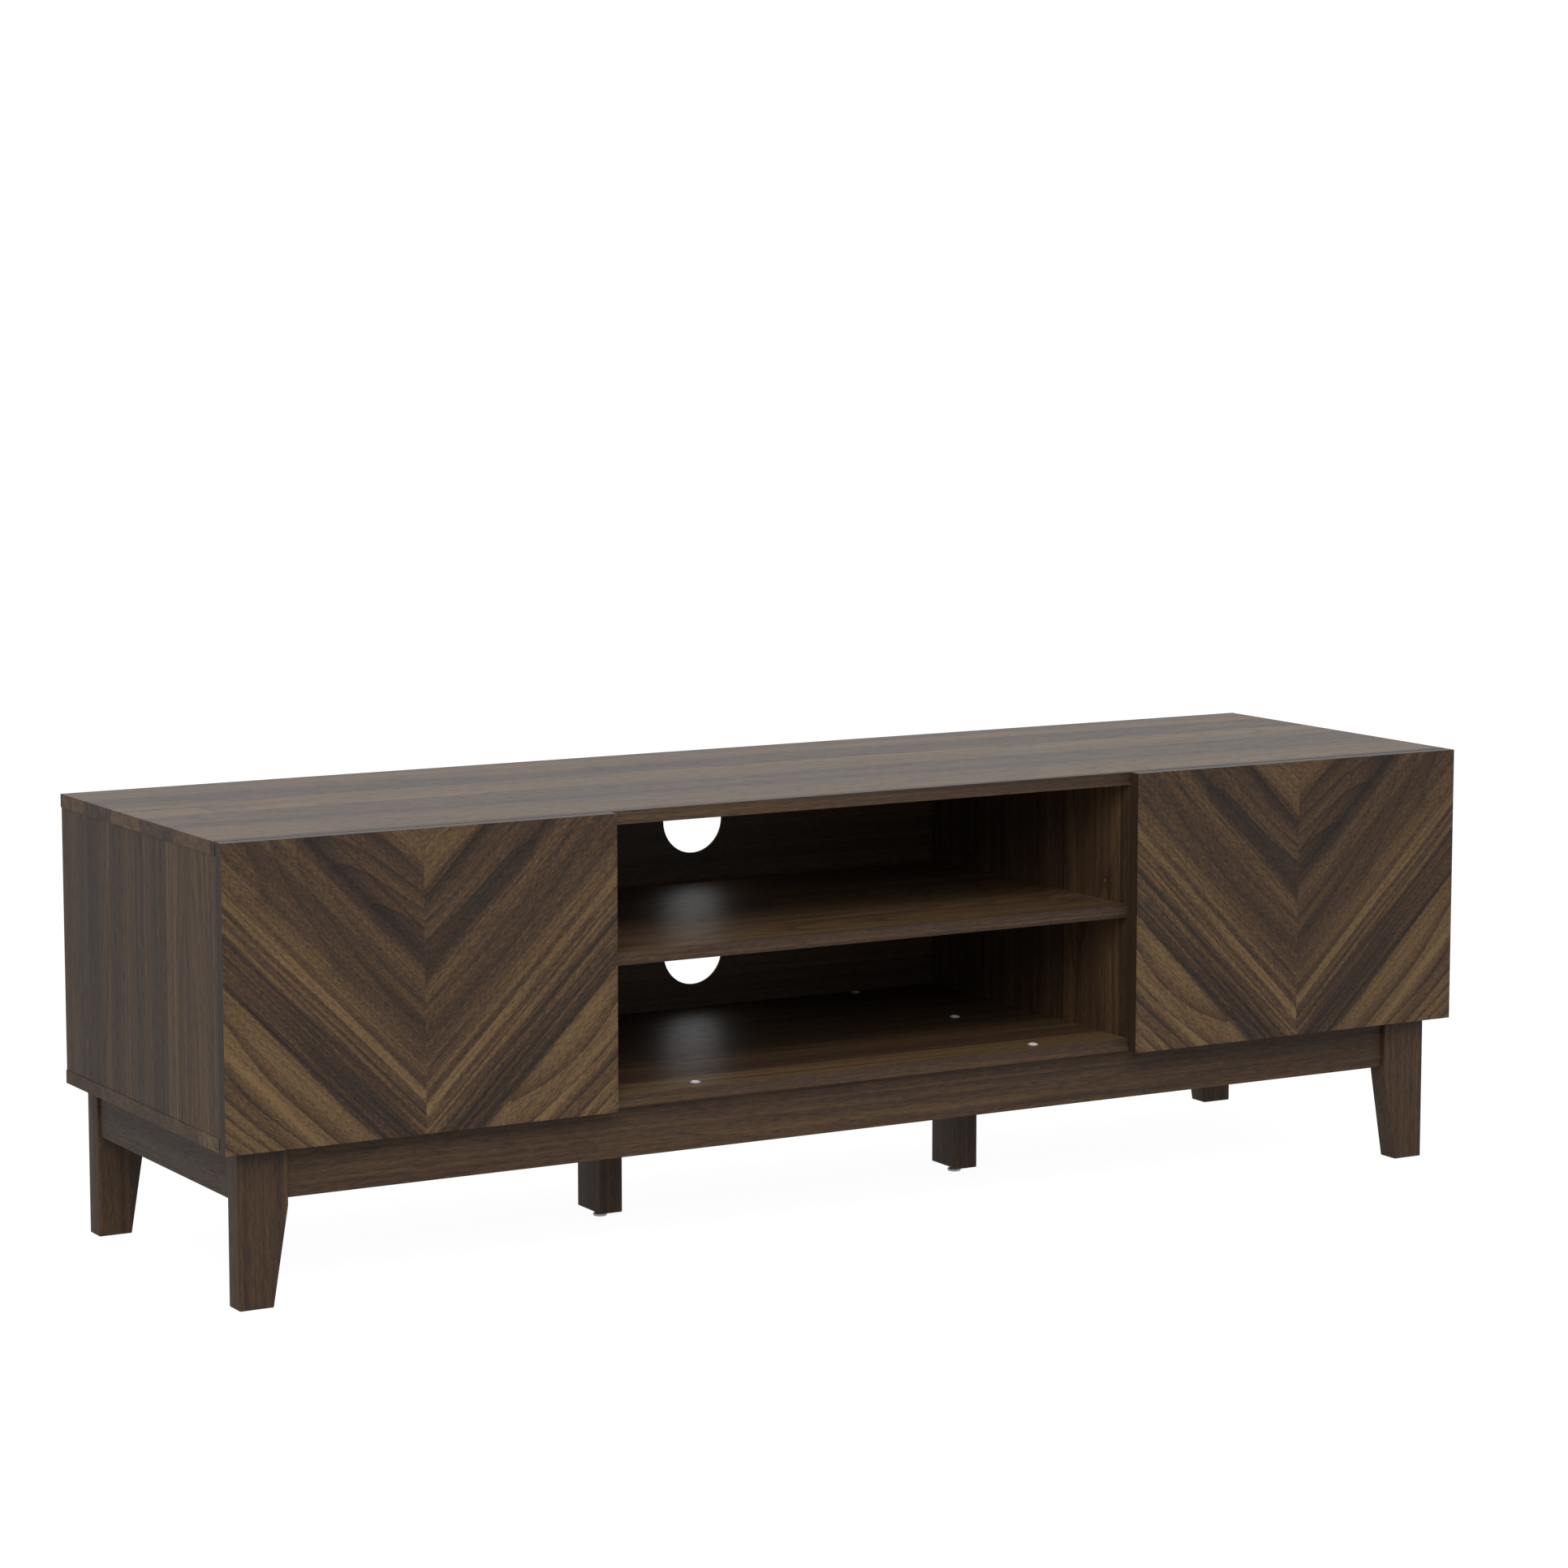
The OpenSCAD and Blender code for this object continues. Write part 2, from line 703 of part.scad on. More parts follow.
module hinge_arm_pins() {
    half = link_h / 2 + cheek_play + cheek_t;
    color(steel) for (s = [-1, 1]) on_side(s) at_hinges()
        translate([arm_pin_x, arm_pin_y, 0]) rod(pin_d, -half, half);
}

// The link: an eye at each pivot and a straight web between them
module hinge_links(s) {
    color(steel) on_side(s) at_hinges() difference() {
        union() {
            translate([pivot_x, pivot_y, 0]) rod(2 * link_r, -link_h / 2, link_h / 2);
            translate([arm_pin_x, arm_pin_y, 0]) rod(2 * link_r + 1, -link_h / 2, link_h / 2);
            translate([pivot_x, pivot_y, 0])
                rotate([0, 0, atan2(arm_pin_y - pivot_y, arm_pin_x - pivot_x)])
                    box([0, -link_t / 2, -link_h / 2],
                        [norm([arm_pin_x - pivot_x, arm_pin_y - pivot_y]), link_t / 2, link_h / 2]);
        }
        translate([pivot_x, pivot_y, 0]) rod(pin_d + 2 * pin_play, -20, 20);
        translate([arm_pin_x, arm_pin_y, 0]) rod(pin_d + 2 * pin_play, -20, 20);
    }
}

module left_hinge_links() { hinge_links(-1); }
module right_hinge_links() { hinge_links(1); }

// Axis of a cup: local +Z points out of the door's back face
module at_cups() {
    at_hinges() translate([-body_w / 2 + cup_x, door_back_y, 0]) rotate([-90, 0, 0]) children();
}

module at_cup_screws() {
    at_cups() for (e = [-1, 1]) translate([ear_x, e * ear_z, 0]) children();
}

// A thin-walled cup with a round-ended flange and two ears inside that carry its pin
module hinge_cups(s) {
    ear_in = link_h / 2 + cheek_play;
    color(steel) on_side(s) difference() {
        union() {
            at_cups() {
                difference() {
                    union() {
                        rod(cup_d - 2 * hole_play, -cup_deep, 0);
                        for (e = [-1, 1]) translate([ear_x, e * ear_z, 0]) rod(ear_d, 0, flange_t);
                        box([ear_x - ear_d / 2, -ear_z, 0], [ear_x + ear_d / 2, ear_z, flange_t]);
                    }
                    rod(cup_d - 2 * cup_wall, -cup_deep + 1, 2);
                }
            }
            at_hinges() for (e = [-1, 1])
                translate([pivot_x, pivot_y, e * (ear_in + cheek_t / 2)])
                    rod(2 * link_r + 1, -cheek_t / 2, cheek_t / 2);
            at_hinges() for (z = [ear_in, -ear_in - cheek_t])
                box([pivot_x - link_r, door_back_y - cup_deep + 0.5, z],
                    [pivot_x + link_r, pivot_y, z + cheek_t]);
        }
        at_hinges() translate([pivot_x, pivot_y, 0]) rod(pin_d + 2 * hole_play, -15, 15);
        at_cup_screws() rod(screw_d, -2, 2);
    }
}

module left_hinge_cups() { hinge_cups(-1); }
module right_hinge_cups() { hinge_cups(1); }

module cup_screws(s) {
    color(steel) on_side(s) at_cup_screws() {
        rod(core_d, -cup_screw_l, flange_t);
        rod(shelf_head_d, flange_t, flange_t + cup_head_t);
    }
}

module left_cup_screws() { cup_screws(-1); }
module right_cup_screws() { cup_screws(1); }

module cup_pins(s) {
    half = link_h / 2 + cheek_play + cheek_t;
    color(steel) on_side(s) at_hinges() translate([pivot_x, pivot_y, 0]) rod(pin_d, -half, half);
}

module left_cup_pins() { cup_pins(-1); }
module right_cup_pins() { cup_pins(1); }

// ---------- doors ----------
module door(s) {
    on_side(s) color(door_wood) difference() {
        box([-body_w / 2, front_y, base_h], [-bay_x, door_back_y, body_h]);
        at_cups() rod(cup_d, -cup_deep - 0.2, 1);
        at_cup_screws() rod(pilot_d, -cup_screw_l - hole_spare, hole_spare);
        at_strike() rod(pilot_d, -strike_screw_l - hole_spare, hole_spare);
    }
}

module left_door() { door(-1); }
module right_door() { door(1); }

module at_strike() {
    translate([-latch_x, door_back_y, latch_z]) rotate([-90, 0, 0]) children();
}

module strike_plate(s) {
    color(steel) on_side(s) at_strike() difference() {
        rod(strike_d, 0, strike_t);
        rod(screw_d, -1, 2);
    }
}

module left_strike_plate() { strike_plate(-1); }
module right_strike_plate() { strike_plate(1); }

module strike_screw(s) {
    color(steel) on_side(s) at_strike() rod(core_d, -strike_screw_l, strike_t);
}

module left_strike_screw() { strike_screw(-1); }
module right_strike_screw() { strike_screw(1); }

module bumpers(s) {
    color("whitesmoke") on_side(s)
        for (z = [floor_z + bumper_in, ceil_z - bumper_in]) translate([-divider_mid, door_back_y, z])
            rotate([-90, 0, 0]) cylinder(d = bumper_d, h = bumper_t);
}

module left_bumpers() { bumpers(-1); }
module right_bumpers() { bumpers(1); }

// ---------- push latches ----------
// Local +Z points back along the plunger from its tip
module at_latch() {
    translate([-latch_x, plunger_tip_y, latch_z]) rotate([-90, 0, 0]) children();
}

latch_front_y = edge_y + 1;
module latch_housings() {
    color("gray") for (s = [-1, 1]) on_side(s) difference() {
        union() {
            box([-latch_x - latch_w / 2, latch_front_y, ceil_z - latch_h],
                [-latch_x + latch_w / 2, latch_front_y + latch_l, ceil_z]);
            for (y = ear_ys)
                box([-latch_x - latch_w / 2 - ear_w, latch_front_y + y, ceil_z - ear_t],
                    [-latch_x + latch_w / 2 + ear_w, latch_front_y + y + ear_w, ceil_z]);
        }
        at_latch() rod(plunger_d + 2 * pin_play, -5, latch_l - latch_wall);
        at_latch_screws() rod(screw_d, -3, 1);
    }
}

// Latch screws: local +Z points up into the top
module at_latch_screws() {
    for (i = [0, 1])
        translate([-latch_x + (i * 2 - 1) * (latch_w + ear_w) / 2,
            latch_front_y + ear_ys[i] + ear_w / 2, ceil_z]) children();
}

module latch_screws() {
    color(steel) for (s = [-1, 1]) on_side(s) at_latch_screws() {
        rod(core_d, -ear_t, 0);
        rod(shelf_head_d, -ear_t - 1.5, -ear_t);
    }
}

module latch_plunger(s) {
    color("dimgray") on_side(s) at_latch() {
        rod(plunger_d, 0.8, plunger_l);
        rod(plunger_d - 2, 0, 1);
    }
}

module left_latch_plunger() { latch_plunger(-1); }
module right_latch_plunger() { latch_plunger(1); }

// Coil spring: a round wire swept along a helix behind the plunger
module latch_springs() {
    color(steel) for (s = [-1, 1]) on_side(s) at_latch()
        translate([0, 0, plunger_l + spring_gap]) coil(plunger_d / 2 - 1.2, 0.4, spring_l, spring_turns);
}

module coil(r, wire_r, l, turns) {
    sides = 6;
    steps = turns * 14;
    points = [for (i = [0:steps]) for (k = [0:sides - 1])
        let (a = 360 * turns * i / steps, b = 360 * k / sides, q = r + wire_r * cos(b))
        [q * cos(a), q * sin(a), l * i / steps + wire_r * sin(b)]];
    walls = [for (i = [0:steps - 1]) for (k = [0:sides - 1])
        [i * sides + k, i * sides + (k + 1) % sides,
            (i + 1) * sides + (k + 1) % sides, (i + 1) * sides + k]];
    ends = [[for (k = [sides - 1:-1:0]) k], [for (k = [0:sides - 1]) steps * sides + k]];
    polyhedron(points = points, faces = concat(walls, ends), convexity = 10);
}

top_panel();
bottom_panel();
left_side_panel();
right_side_panel();
left_divider();
right_divider();
center_shelf();
left_cabinet_shelf();
right_cabinet_shelf();
back_panel();
cam_locks();
cam_bolts();
carcass_dowels();
shelf_screws();
shelf_pins();
front_apron();
rear_apron();
left_apron();
right_apron();
front_left_leg();
front_right_leg();
rear_left_leg();
rear_right_leg();
left_middle_leg();
right_middle_leg();
base_dowels();
corner_brackets();
bracket_screws();
base_screws();
middle_leg_bolts();
leveller_inserts();
left_leveller();
right_leveller();
hinge_plates();
hinge_plate_screws();
hinge_arms();
hinge_arm_pins();
latch_housings();
latch_screws();
latch_springs();
left_door();
right_door();
left_hinge_cups();
right_hinge_cups();
left_cup_screws();
right_cup_screws();
left_cup_pins();
right_cup_pins();
left_hinge_links();
right_hinge_links();
left_strike_plate();
right_strike_plate();
left_strike_screw();
right_strike_screw();
left_bumpers();
right_bumpers();
left_latch_plunger();
right_latch_plunger();
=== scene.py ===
import json
import math
import bmesh
import bpy
import numpy as np
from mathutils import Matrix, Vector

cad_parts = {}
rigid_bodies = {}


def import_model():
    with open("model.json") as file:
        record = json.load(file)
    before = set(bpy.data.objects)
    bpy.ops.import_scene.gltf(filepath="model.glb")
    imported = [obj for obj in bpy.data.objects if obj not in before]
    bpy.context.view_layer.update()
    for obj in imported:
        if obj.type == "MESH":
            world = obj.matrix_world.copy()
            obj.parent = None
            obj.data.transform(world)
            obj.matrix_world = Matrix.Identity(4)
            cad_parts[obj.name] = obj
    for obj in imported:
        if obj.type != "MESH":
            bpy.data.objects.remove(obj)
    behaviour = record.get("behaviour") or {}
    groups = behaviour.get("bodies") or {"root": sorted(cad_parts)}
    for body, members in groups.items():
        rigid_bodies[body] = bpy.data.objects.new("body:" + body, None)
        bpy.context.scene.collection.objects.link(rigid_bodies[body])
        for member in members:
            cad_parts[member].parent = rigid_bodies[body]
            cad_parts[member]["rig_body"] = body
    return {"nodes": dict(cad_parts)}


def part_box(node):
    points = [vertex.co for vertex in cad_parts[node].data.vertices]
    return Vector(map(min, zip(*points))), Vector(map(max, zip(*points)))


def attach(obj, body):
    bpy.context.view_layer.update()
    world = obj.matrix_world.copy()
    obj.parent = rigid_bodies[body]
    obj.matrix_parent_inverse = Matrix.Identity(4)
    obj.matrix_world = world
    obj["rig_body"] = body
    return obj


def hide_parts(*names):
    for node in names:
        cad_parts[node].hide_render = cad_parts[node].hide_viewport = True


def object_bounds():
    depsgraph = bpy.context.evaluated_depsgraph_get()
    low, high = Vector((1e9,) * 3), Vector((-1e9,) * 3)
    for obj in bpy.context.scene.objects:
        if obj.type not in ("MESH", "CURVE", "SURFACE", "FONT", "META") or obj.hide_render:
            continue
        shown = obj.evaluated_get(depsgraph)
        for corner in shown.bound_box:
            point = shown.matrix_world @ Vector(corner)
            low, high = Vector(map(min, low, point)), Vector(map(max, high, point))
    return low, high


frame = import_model()
cadLow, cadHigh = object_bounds()
print("frame loaded:", len(frame["nodes"]), "nodes")


cameraSet = {
    "place": (-2.5740, -4.4502, 1.1506),    # metres, in the row frame
    "down": 7.382,                          # degrees below the horizon
    "turn": 30.039,                         # degrees clockwise from straight at the front
    "lens": 102.67,
    "sensor": 36.0,
    "farEnd": 60.0,
}


def placeCamera():
    lens = bpy.data.cameras.new("camera")
    lens.lens = cameraSet["lens"]
    lens.sensor_width = cameraSet["sensor"]
    lens.clip_end = cameraSet["farEnd"]
    camera = bpy.data.objects.new("camera", lens)
    camera.location = cameraSet["place"]
    camera.rotation_euler = (math.radians(90 - cameraSet["down"]), 0, math.radians(-cameraSet["turn"]))
    bpy.context.scene.collection.objects.link(camera)
    bpy.context.scene.camera = camera


lightSet = {
    "skyFront": 0.43,       # what the surfaces see of the sky in front of the piece
    "skyBack": 0.80,        # and of the sky behind it
    "skyTurns": (-0.6, 0.8),    # between these cosines to the view the one runs into the other
    "backdrop": 1.15,       # what the camera sees
    "floorReach": 15.0,     # half the floor's width, in metres
    "floorGrey": 0.14,      # how much light the floor returns
    "floorGlow": 0.28,      # its own light on the surfaces
    "floorSeen": 0.96,      # and towards the camera
    "keyPower": 150.0,
    "keyPlace": (-1.9, -3.6, 3.4),
    "keySize": 4.0,
}


def put(tree, kind, inputs=None, **settings):
    # one new shader node, with its settings, its plain values and its links
    made = tree.nodes.new(kind)
    for name, value in settings.items():
        setattr(made, name, value)
    for name, value in (inputs or {}).items():
        if isinstance(value, bpy.types.NodeSocket):
            tree.links.new(value, made.inputs[name])
        else:
            made.inputs[name].default_value = value
    return made


def calc(tree, operation, *values, clamp=False):
    # a Math node; gives its output socket
    named = dict(enumerate(values))
    return put(tree, "ShaderNodeMath", named, operation=operation, use_clamp=clamp).outputs[0]


def makeWorld():
    # the camera sees a white backdrop; the surfaces see a sky that is softer in front than behind
    world = bpy.data.worlds.new("studio")
    world.use_nodes = True
    tree = world.node_tree
    tree.nodes.clear()
    turn = math.radians(cameraSet["turn"])
    away = put(tree, "ShaderNodeVectorMath", {
        0: put(tree, "ShaderNodeTexCoord").outputs["Generated"],
        1: (math.sin(turn), math.cos(turn), 0)}, operation="DOT_PRODUCT").outputs["Value"]
    front, back = lightSet["skyTurns"]
    sky = put(tree, "ShaderNodeMapRange", {
        "Value": away, "From Min": front, "From Max": back,
        "To Min": lightSet["skyFront"], "To Max": lightSet["skyBack"]}).outputs["Result"]
    seen = put(tree, "ShaderNodeLightPath").outputs["Is Camera Ray"]
    strength = put(tree, "ShaderNodeMapRange", {
        "Value": seen, "To Min": sky, "To Max": lightSet["backdrop"]}).outputs["Result"]
    light = put(tree, "ShaderNodeBackground", {"Color": (1, 1, 1, 1), "Strength": strength})
    put(tree, "ShaderNodeOutputWorld", {"Surface": light.outputs[0]})
    bpy.context.scene.world = world


def areaLight(name, place, aim, size, power):
    lamp = bpy.data.lights.new(name, "AREA")
    lamp.shape = "DISK"
    lamp.size = size
    lamp.energy = power
    made = bpy.data.objects.new(name, lamp)
    made.location = place
    made.rotation_euler = (aim - made.location).to_track_quat("-Z", "Y").to_euler()
    bpy.context.scene.collection.objects.link(made)


def makeFloor():
    grey = lightSet["floorGrey"]
    corners = np.array([[-1, -1, 0], [1, -1, 0], [1, 1, 0], [-1, 1, 0]]) * lightSet["floorReach"]
    mesh = bpy.data.meshes.new("floor")
    mesh.from_pydata(corners.tolist(), [], [(0, 1, 2, 3)])
    floor = bpy.data.objects.new("floor", mesh)
    bpy.context.scene.collection.objects.link(floor)
    paper = bpy.data.materials.new("studio_paper")
    paper.use_nodes = True
    tree = paper.node_tree
    tree.nodes.clear()
    seen = put(tree, "ShaderNodeLightPath").outputs["Is Camera Ray"]
    glow = put(tree, "ShaderNodeMapRange", {
        "Value": seen, "To Min": lightSet["floorGlow"], "To Max": lightSet["floorSeen"]}).outputs["Result"]
    matt = put(tree, "ShaderNodeBsdfDiffuse", {"Color": (grey, grey, grey, 1)})
    light = put(tree, "ShaderNodeEmission", {"Color": (1, 1, 1, 1), "Strength": glow})
    both = put(tree, "ShaderNodeAddShader", {0: matt.outputs[0], 1: light.outputs[0]})
    put(tree, "ShaderNodeOutputMaterial", {"Surface": both.outputs[0]})
    mesh.materials.append(paper)


placeCamera()
makeWorld()
makeFloor()
centre = (cadLow + cadHigh) / 2
areaLight("key", lightSet["keyPlace"], centre, lightSet["keySize"], lightSet["keyPower"])
bpy.context.scene.view_settings.view_transform = "Standard"
print("camera, floor and light placed")


walnutShades = [      # tone, then linear colour
    (0.00, (0.014, 0.0105, 0.0085)),
    (0.28, (0.032, 0.0215, 0.0155)),
    (0.50, (0.060, 0.0345, 0.0205)),
    (0.72, (0.110, 0.0635, 0.0310)),
    (1.00, (0.195, 0.1220, 0.0540)),
]


def ramp(tree, factor, stops, interpolation="LINEAR"):
    # a Color Ramp; a stop is (place, grey) or (place, colour)
    made = put(tree, "ShaderNodeValToRGB", {"Fac": factor})
    made.color_ramp.interpolation = interpolation
    elements = made.color_ramp.elements
    while len(elements) < len(stops):
        elements.new(0.5)
    for element, (place, shade) in zip(elements, stops):
        element.position = place
        colour = shade if isinstance(shade, tuple) else (shade, shade, shade)
        element.color = (*colour, 1)
    return made.outputs["Color"]


def newGroup(name, inputs, outputs):
    # an empty node group; inputs and outputs are {name: socket type}
    group = bpy.data.node_groups.new(name, "ShaderNodeTree")
    for label, kind in inputs.items():
        group.interface.new_socket(label, in_out="INPUT", socket_type=kind)
    for label, kind in outputs.items():
        group.interface.new_socket(label, in_out="OUTPUT", socket_type=kind)
    return group, put(group, "NodeGroupInput").outputs, put(group, "NodeGroupOutput")


def stretchedNoise(tree, grain, along, across, detail, roughness, shift=0.0):
    # Noise drawn out along the grain: `along` and `across` are its waves per metre
    scaled = put(tree, "ShaderNodeVectorMath", {0: grain, 1: (along, across, across)},
                 operation="MULTIPLY").outputs[0]
    return put(tree, "ShaderNodeTexNoise", {
        "Vector": scaled, "W": shift, "Scale": 1.0, "Detail": detail, "Roughness": roughness},
        noise_dimensions="4D").outputs["Fac"]


def spread(tree, value, gain):
    # pulls a noise's middling values apart around one half
    return calc(tree, "MULTIPLY_ADD", value, gain, 0.5 - gain / 2, clamp=True)


figureSet = {         # of a noise: waves per metre along and across the grain, detail, roughness
    "swell": (1.1, 7.0, 0.6, 0.35),
    "ripple": (6.0, 50.0, 2.0, 0.5),
    "streak": (0.8, 36.0, 3.0, 0.55),
    "line": (1.6, 190.0, 3.0, 0.65),
    "fibre": (90.0, 800.0, 2.0, 0.6),
    "pore": (60.0, 620.0, 1.0, 0.5),
    "rippleShare": 0.005,   # how much the ripple bends the rings
    "ringFade": 3.0,        # power by which a ring darkens towards its edge
    "streakGain": 2.2,
    "lineGain": 3.0,
    "fibreGain": 2.6,
    "poreFrom": 0.58,
    "poreTo": 0.68,
}
ringMean = 0.75       # the middle value of Cathedral


def buildFigureGroup():
    # Growth rings are level lines of a long smooth noise, dark on one side and soft on the other;
    # streaks, lines, fibres and pores are noises drawn out along X, which is the grain. All come
    # out from 0 to 1.
    floatKind = "NodeSocketFloat"
    group, source, result = newGroup(
        "walnut_figure",
        {"Grain": "NodeSocketVector", "Shift": floatKind, "Rings": floatKind},
        {"Cathedral": floatKind, "Streak": floatKind, "Line": floatKind, "Fibre": floatKind,
         "Pore": floatKind})
    look = figureSet
    swell, ripple, streak, line, fibre, pore = (
        stretchedNoise(group, source["Grain"], *look[kind], source["Shift"])
        for kind in ("swell", "ripple", "streak", "line", "fibre", "pore"))
    level = calc(group, "MULTIPLY_ADD", ripple, look["rippleShare"], swell)
    saw = calc(group, "FRACT", calc(group, "MULTIPLY", level, source["Rings"]))
    cathedral = calc(group, "SUBTRACT", 1.0, calc(group, "POWER", saw, look["ringFade"]))
    pore = put(group, "ShaderNodeMapRange", {
        "Value": pore, "From Min": look["poreFrom"], "From Max": look["poreTo"]}).outputs["Result"]
    for label, value in (
            ("Cathedral", cathedral), ("Streak", spread(group, streak, look["streakGain"])),
            ("Line", spread(group, line, look["lineGain"])),
            ("Fibre", spread(group, fibre, look["fibreGain"])), ("Pore", pore)):
        group.links.new(value, result.inputs[label])
    return group


figureGroup = buildFigureGroup()


def useGroup(tree, group, inputs):
    return put(tree, "ShaderNodeGroup", inputs, node_tree=group).outputs


def blankMaterial(name, viewColour):
    made = bpy.data.materials.new(name)
    made.use_nodes = True
    made.diffuse_color = (*viewColour, 1)
    made.node_tree.nodes.clear()
    return made, made.node_tree


def objectPlace(tree):
    place = put(tree, "ShaderNodeTexCoord").outputs["Object"]
    return place, put(tree, "ShaderNodeSeparateXYZ", {"Vector": place}).outputs


def finishMaterial(tree, shader):
    put(tree, "ShaderNodeOutputMaterial", {"Surface": shader.outputs[0]})


def mixTone(tree, parts, base):
    # base plus each (value, strength) around its middle of one half
    total = base
    for value, strength in parts:
        total = calc(tree, "ADD", total, calc(tree, "MULTIPLY_ADD", value, strength, -strength / 2))
    return total


woodSet = {
    "roughness": 0.42,
    "poreRoughness": 0.12,
    "fibreHeight": 0.4,     # against a depth of 1 for a pore
    "relief": 0.10,
    "reliefDepth": 0.0003,
    "specular": 0.3,
}


def woodShader(tree, tone, figure, roughness=woodSet["roughness"], shades=walnutShades):
    look = woodSet
    colour = ramp(tree, tone, shades)
    rough = calc(tree, "MULTIPLY_ADD", figure["Pore"], look["poreRoughness"], roughness)
    height = calc(tree, "SUBTRACT", calc(tree, "MULTIPLY", figure["Fibre"], look["fibreHeight"]),
                  figure["Pore"])
    bump = put(tree, "ShaderNodeBump", {
        "Height": height, "Strength": look["relief"], "Distance": look["reliefDepth"]})
    return put(tree, "ShaderNodeBsdfPrincipled", {
        "Base Color": colour, "Roughness": rough, "Normal": bump.outputs[0],
        "Specular IOR Level": look["specular"]})


boardSet = {
    "rings": 24.0,
    "plankWidth": 0.085,
    "plankTone": 0.34,
    "plankReach": 0.45,     # depth that a list of planks covers
    "plankShift": 9.0,      # how far apart the figures of two planks lie
    "figuredFrom": 0.4,     # rings show on a listed plank that is lighter than this,
    "figuredGain": 4.0,     # and grow with its tone by this factor
    "streak": 0.22,
    "line": 0.26,
    "cathedral": 0.13,
    "fibre": 0.22,
    "pore": -0.12,
    "base": 0.48,
    "bandDepth": 0.0007,    # thickness of the edge band at the front
    "bandTone": 0.44,
}
baseChange = {        # solid bars: no edge band
    "plankTone": 0.03, "streak": 0.16, "line": 0.22, "cathedral": 0.04, "base": 0.49,
    "bandDepth": -1.0}
topChange = {"plankTone": 0.50, "streak": 0.32}
uprightPlanks = [     # distance behind the front edge, then the plank's tone there
    (0.000, 0.46), (0.018, 0.58), (0.066, 0.50), (0.086, 0.56), (0.112, 0.62), (0.134, 0.40),
    (0.158, 0.45), (0.232, 0.47), (0.300, 0.56), (0.322, 0.42), (0.392, 0.50)]
floorPlanks = [
    (0.000, 0.74), (0.052, 0.50), (0.092, 0.58), (0.150, 0.46), (0.240, 0.54), (0.330, 0.46)]
shelfPlanks = [
    (0.000, 0.62), (0.070, 0.58), (0.084, 0.70), (0.104, 0.60), (0.170, 0.50), (0.260, 0.56)]


def plankTones(tree, across, look, shift, planks, start):
    # tone, figure strength and seed of each plank; listed tones if there are any
    if planks is None:
        cells = put(tree, "ShaderNodeTexVoronoi", {
            "W": calc(tree, "ADD", across, shift), "Scale": 1 / look["plankWidth"]},
            voronoi_dimensions="1D").outputs["Color"]
        chance = put(tree, "ShaderNodeSeparateXYZ", {"Vector": cells}).outputs
        tone = calc(tree, "MULTIPLY_ADD", chance["X"], look["plankTone"],
                    look["base"] - look["plankTone"] / 2)
        return tone, chance["Y"], chance["Z"]
    place = calc(tree, "DIVIDE", calc(tree, "SUBTRACT", across, start), look["plankReach"])
    tone = ramp(tree, place, [(y / look["plankReach"], value) for y, value in planks], "CONSTANT")
    figured = calc(tree, "MULTIPLY_ADD", tone, look["figuredGain"],
                   -look["figuredGain"] * look["figuredFrom"], clamp=True)
    return tone, figured, tone


def walnutBoard(name, grainAxis, shift, change, planks, start):
    # Foil printed as planks of uneven width: each has its own tone and its own figure. The front
    # edge, at `start`, has a plain band.
    look = {**boardSet, **(change or {})}
    made, tree = blankMaterial(name, (0.10, 0.07, 0.05))
    _, axes = objectPlace(tree)
    order = {"X": "XYZ", "Y": "YXZ", "Z": "ZYX"}[grainAxis]
    grain = put(tree, "ShaderNodeCombineXYZ", {
        "X": axes[order[0]], "Y": axes[order[1]], "Z": axes[order[2]]}).outputs[0]
    plank, figured, seed = plankTones(tree, axes[order[1]], look, shift, planks, start)
    figure = useGroup(tree, figureGroup, {
        "Grain": grain, "Shift": calc(tree, "MULTIPLY_ADD", seed, look["plankShift"], shift),
        "Rings": look["rings"]})
    ringTone = calc(tree, "MULTIPLY", calc(tree, "SUBTRACT", figure["Cathedral"], ringMean), figured)
    banded = calc(tree, "LESS_THAN", calc(tree, "SUBTRACT", axes["Y"], start), look["bandDepth"])
    ringTone = calc(tree, "MULTIPLY", ringTone, calc(tree, "SUBTRACT", 1.0, banded))
    plank = put(tree, "ShaderNodeMix", {
        "Factor": banded, "A": plank, "B": look["bandTone"]}).outputs["Result"]
    tone = mixTone(tree, [
        (figure["Streak"], look["streak"]), (figure["Line"], look["line"]),
        (figure["Fibre"], look["fibre"]), (figure["Pore"], look["pore"])],
        calc(tree, "MULTIPLY_ADD", ringTone, look["cathedral"] * 2, plank))
    finishMaterial(tree, woodShader(tree, tone, figure))
    return made


# Chevron veneer: distance across the grain from the point of the V at the door's top edge, and the
# tone there
chevronBands = [
    (0.000, 0.60), (0.045, 0.56), (0.054, 0.42), (0.110, 0.42), (0.122, 0.33), (0.146, 0.34),
    (0.152, 0.53), (0.162, 0.55), (0.170, 0.43), (0.235, 0.45), (0.262, 0.52), (0.278, 0.52),
    (0.283, 0.72), (0.294, 0.72), (0.299, 0.47), (0.330, 0.48), (0.345, 0.39), (0.380, 0.35),
    (0.385, 0.60), (0.420, 0.63), (0.438, 0.62), (0.446, 0.74), (0.456, 0.66), (0.472, 0.52),
    (0.490, 0.48), (0.500, 0.60), (0.530, 0.60), (0.560, 0.64)]
chevronFigure = [     # how strongly the rings show there
    (0.00, 0.2), (0.045, 0.3), (0.06, 0.6), (0.12, 0.6), (0.15, 0.1), (0.18, 0.35), (0.24, 0.35),
    (0.27, 0.05), (0.38, 0.05), (0.388, 0.8), (0.56, 0.9)]
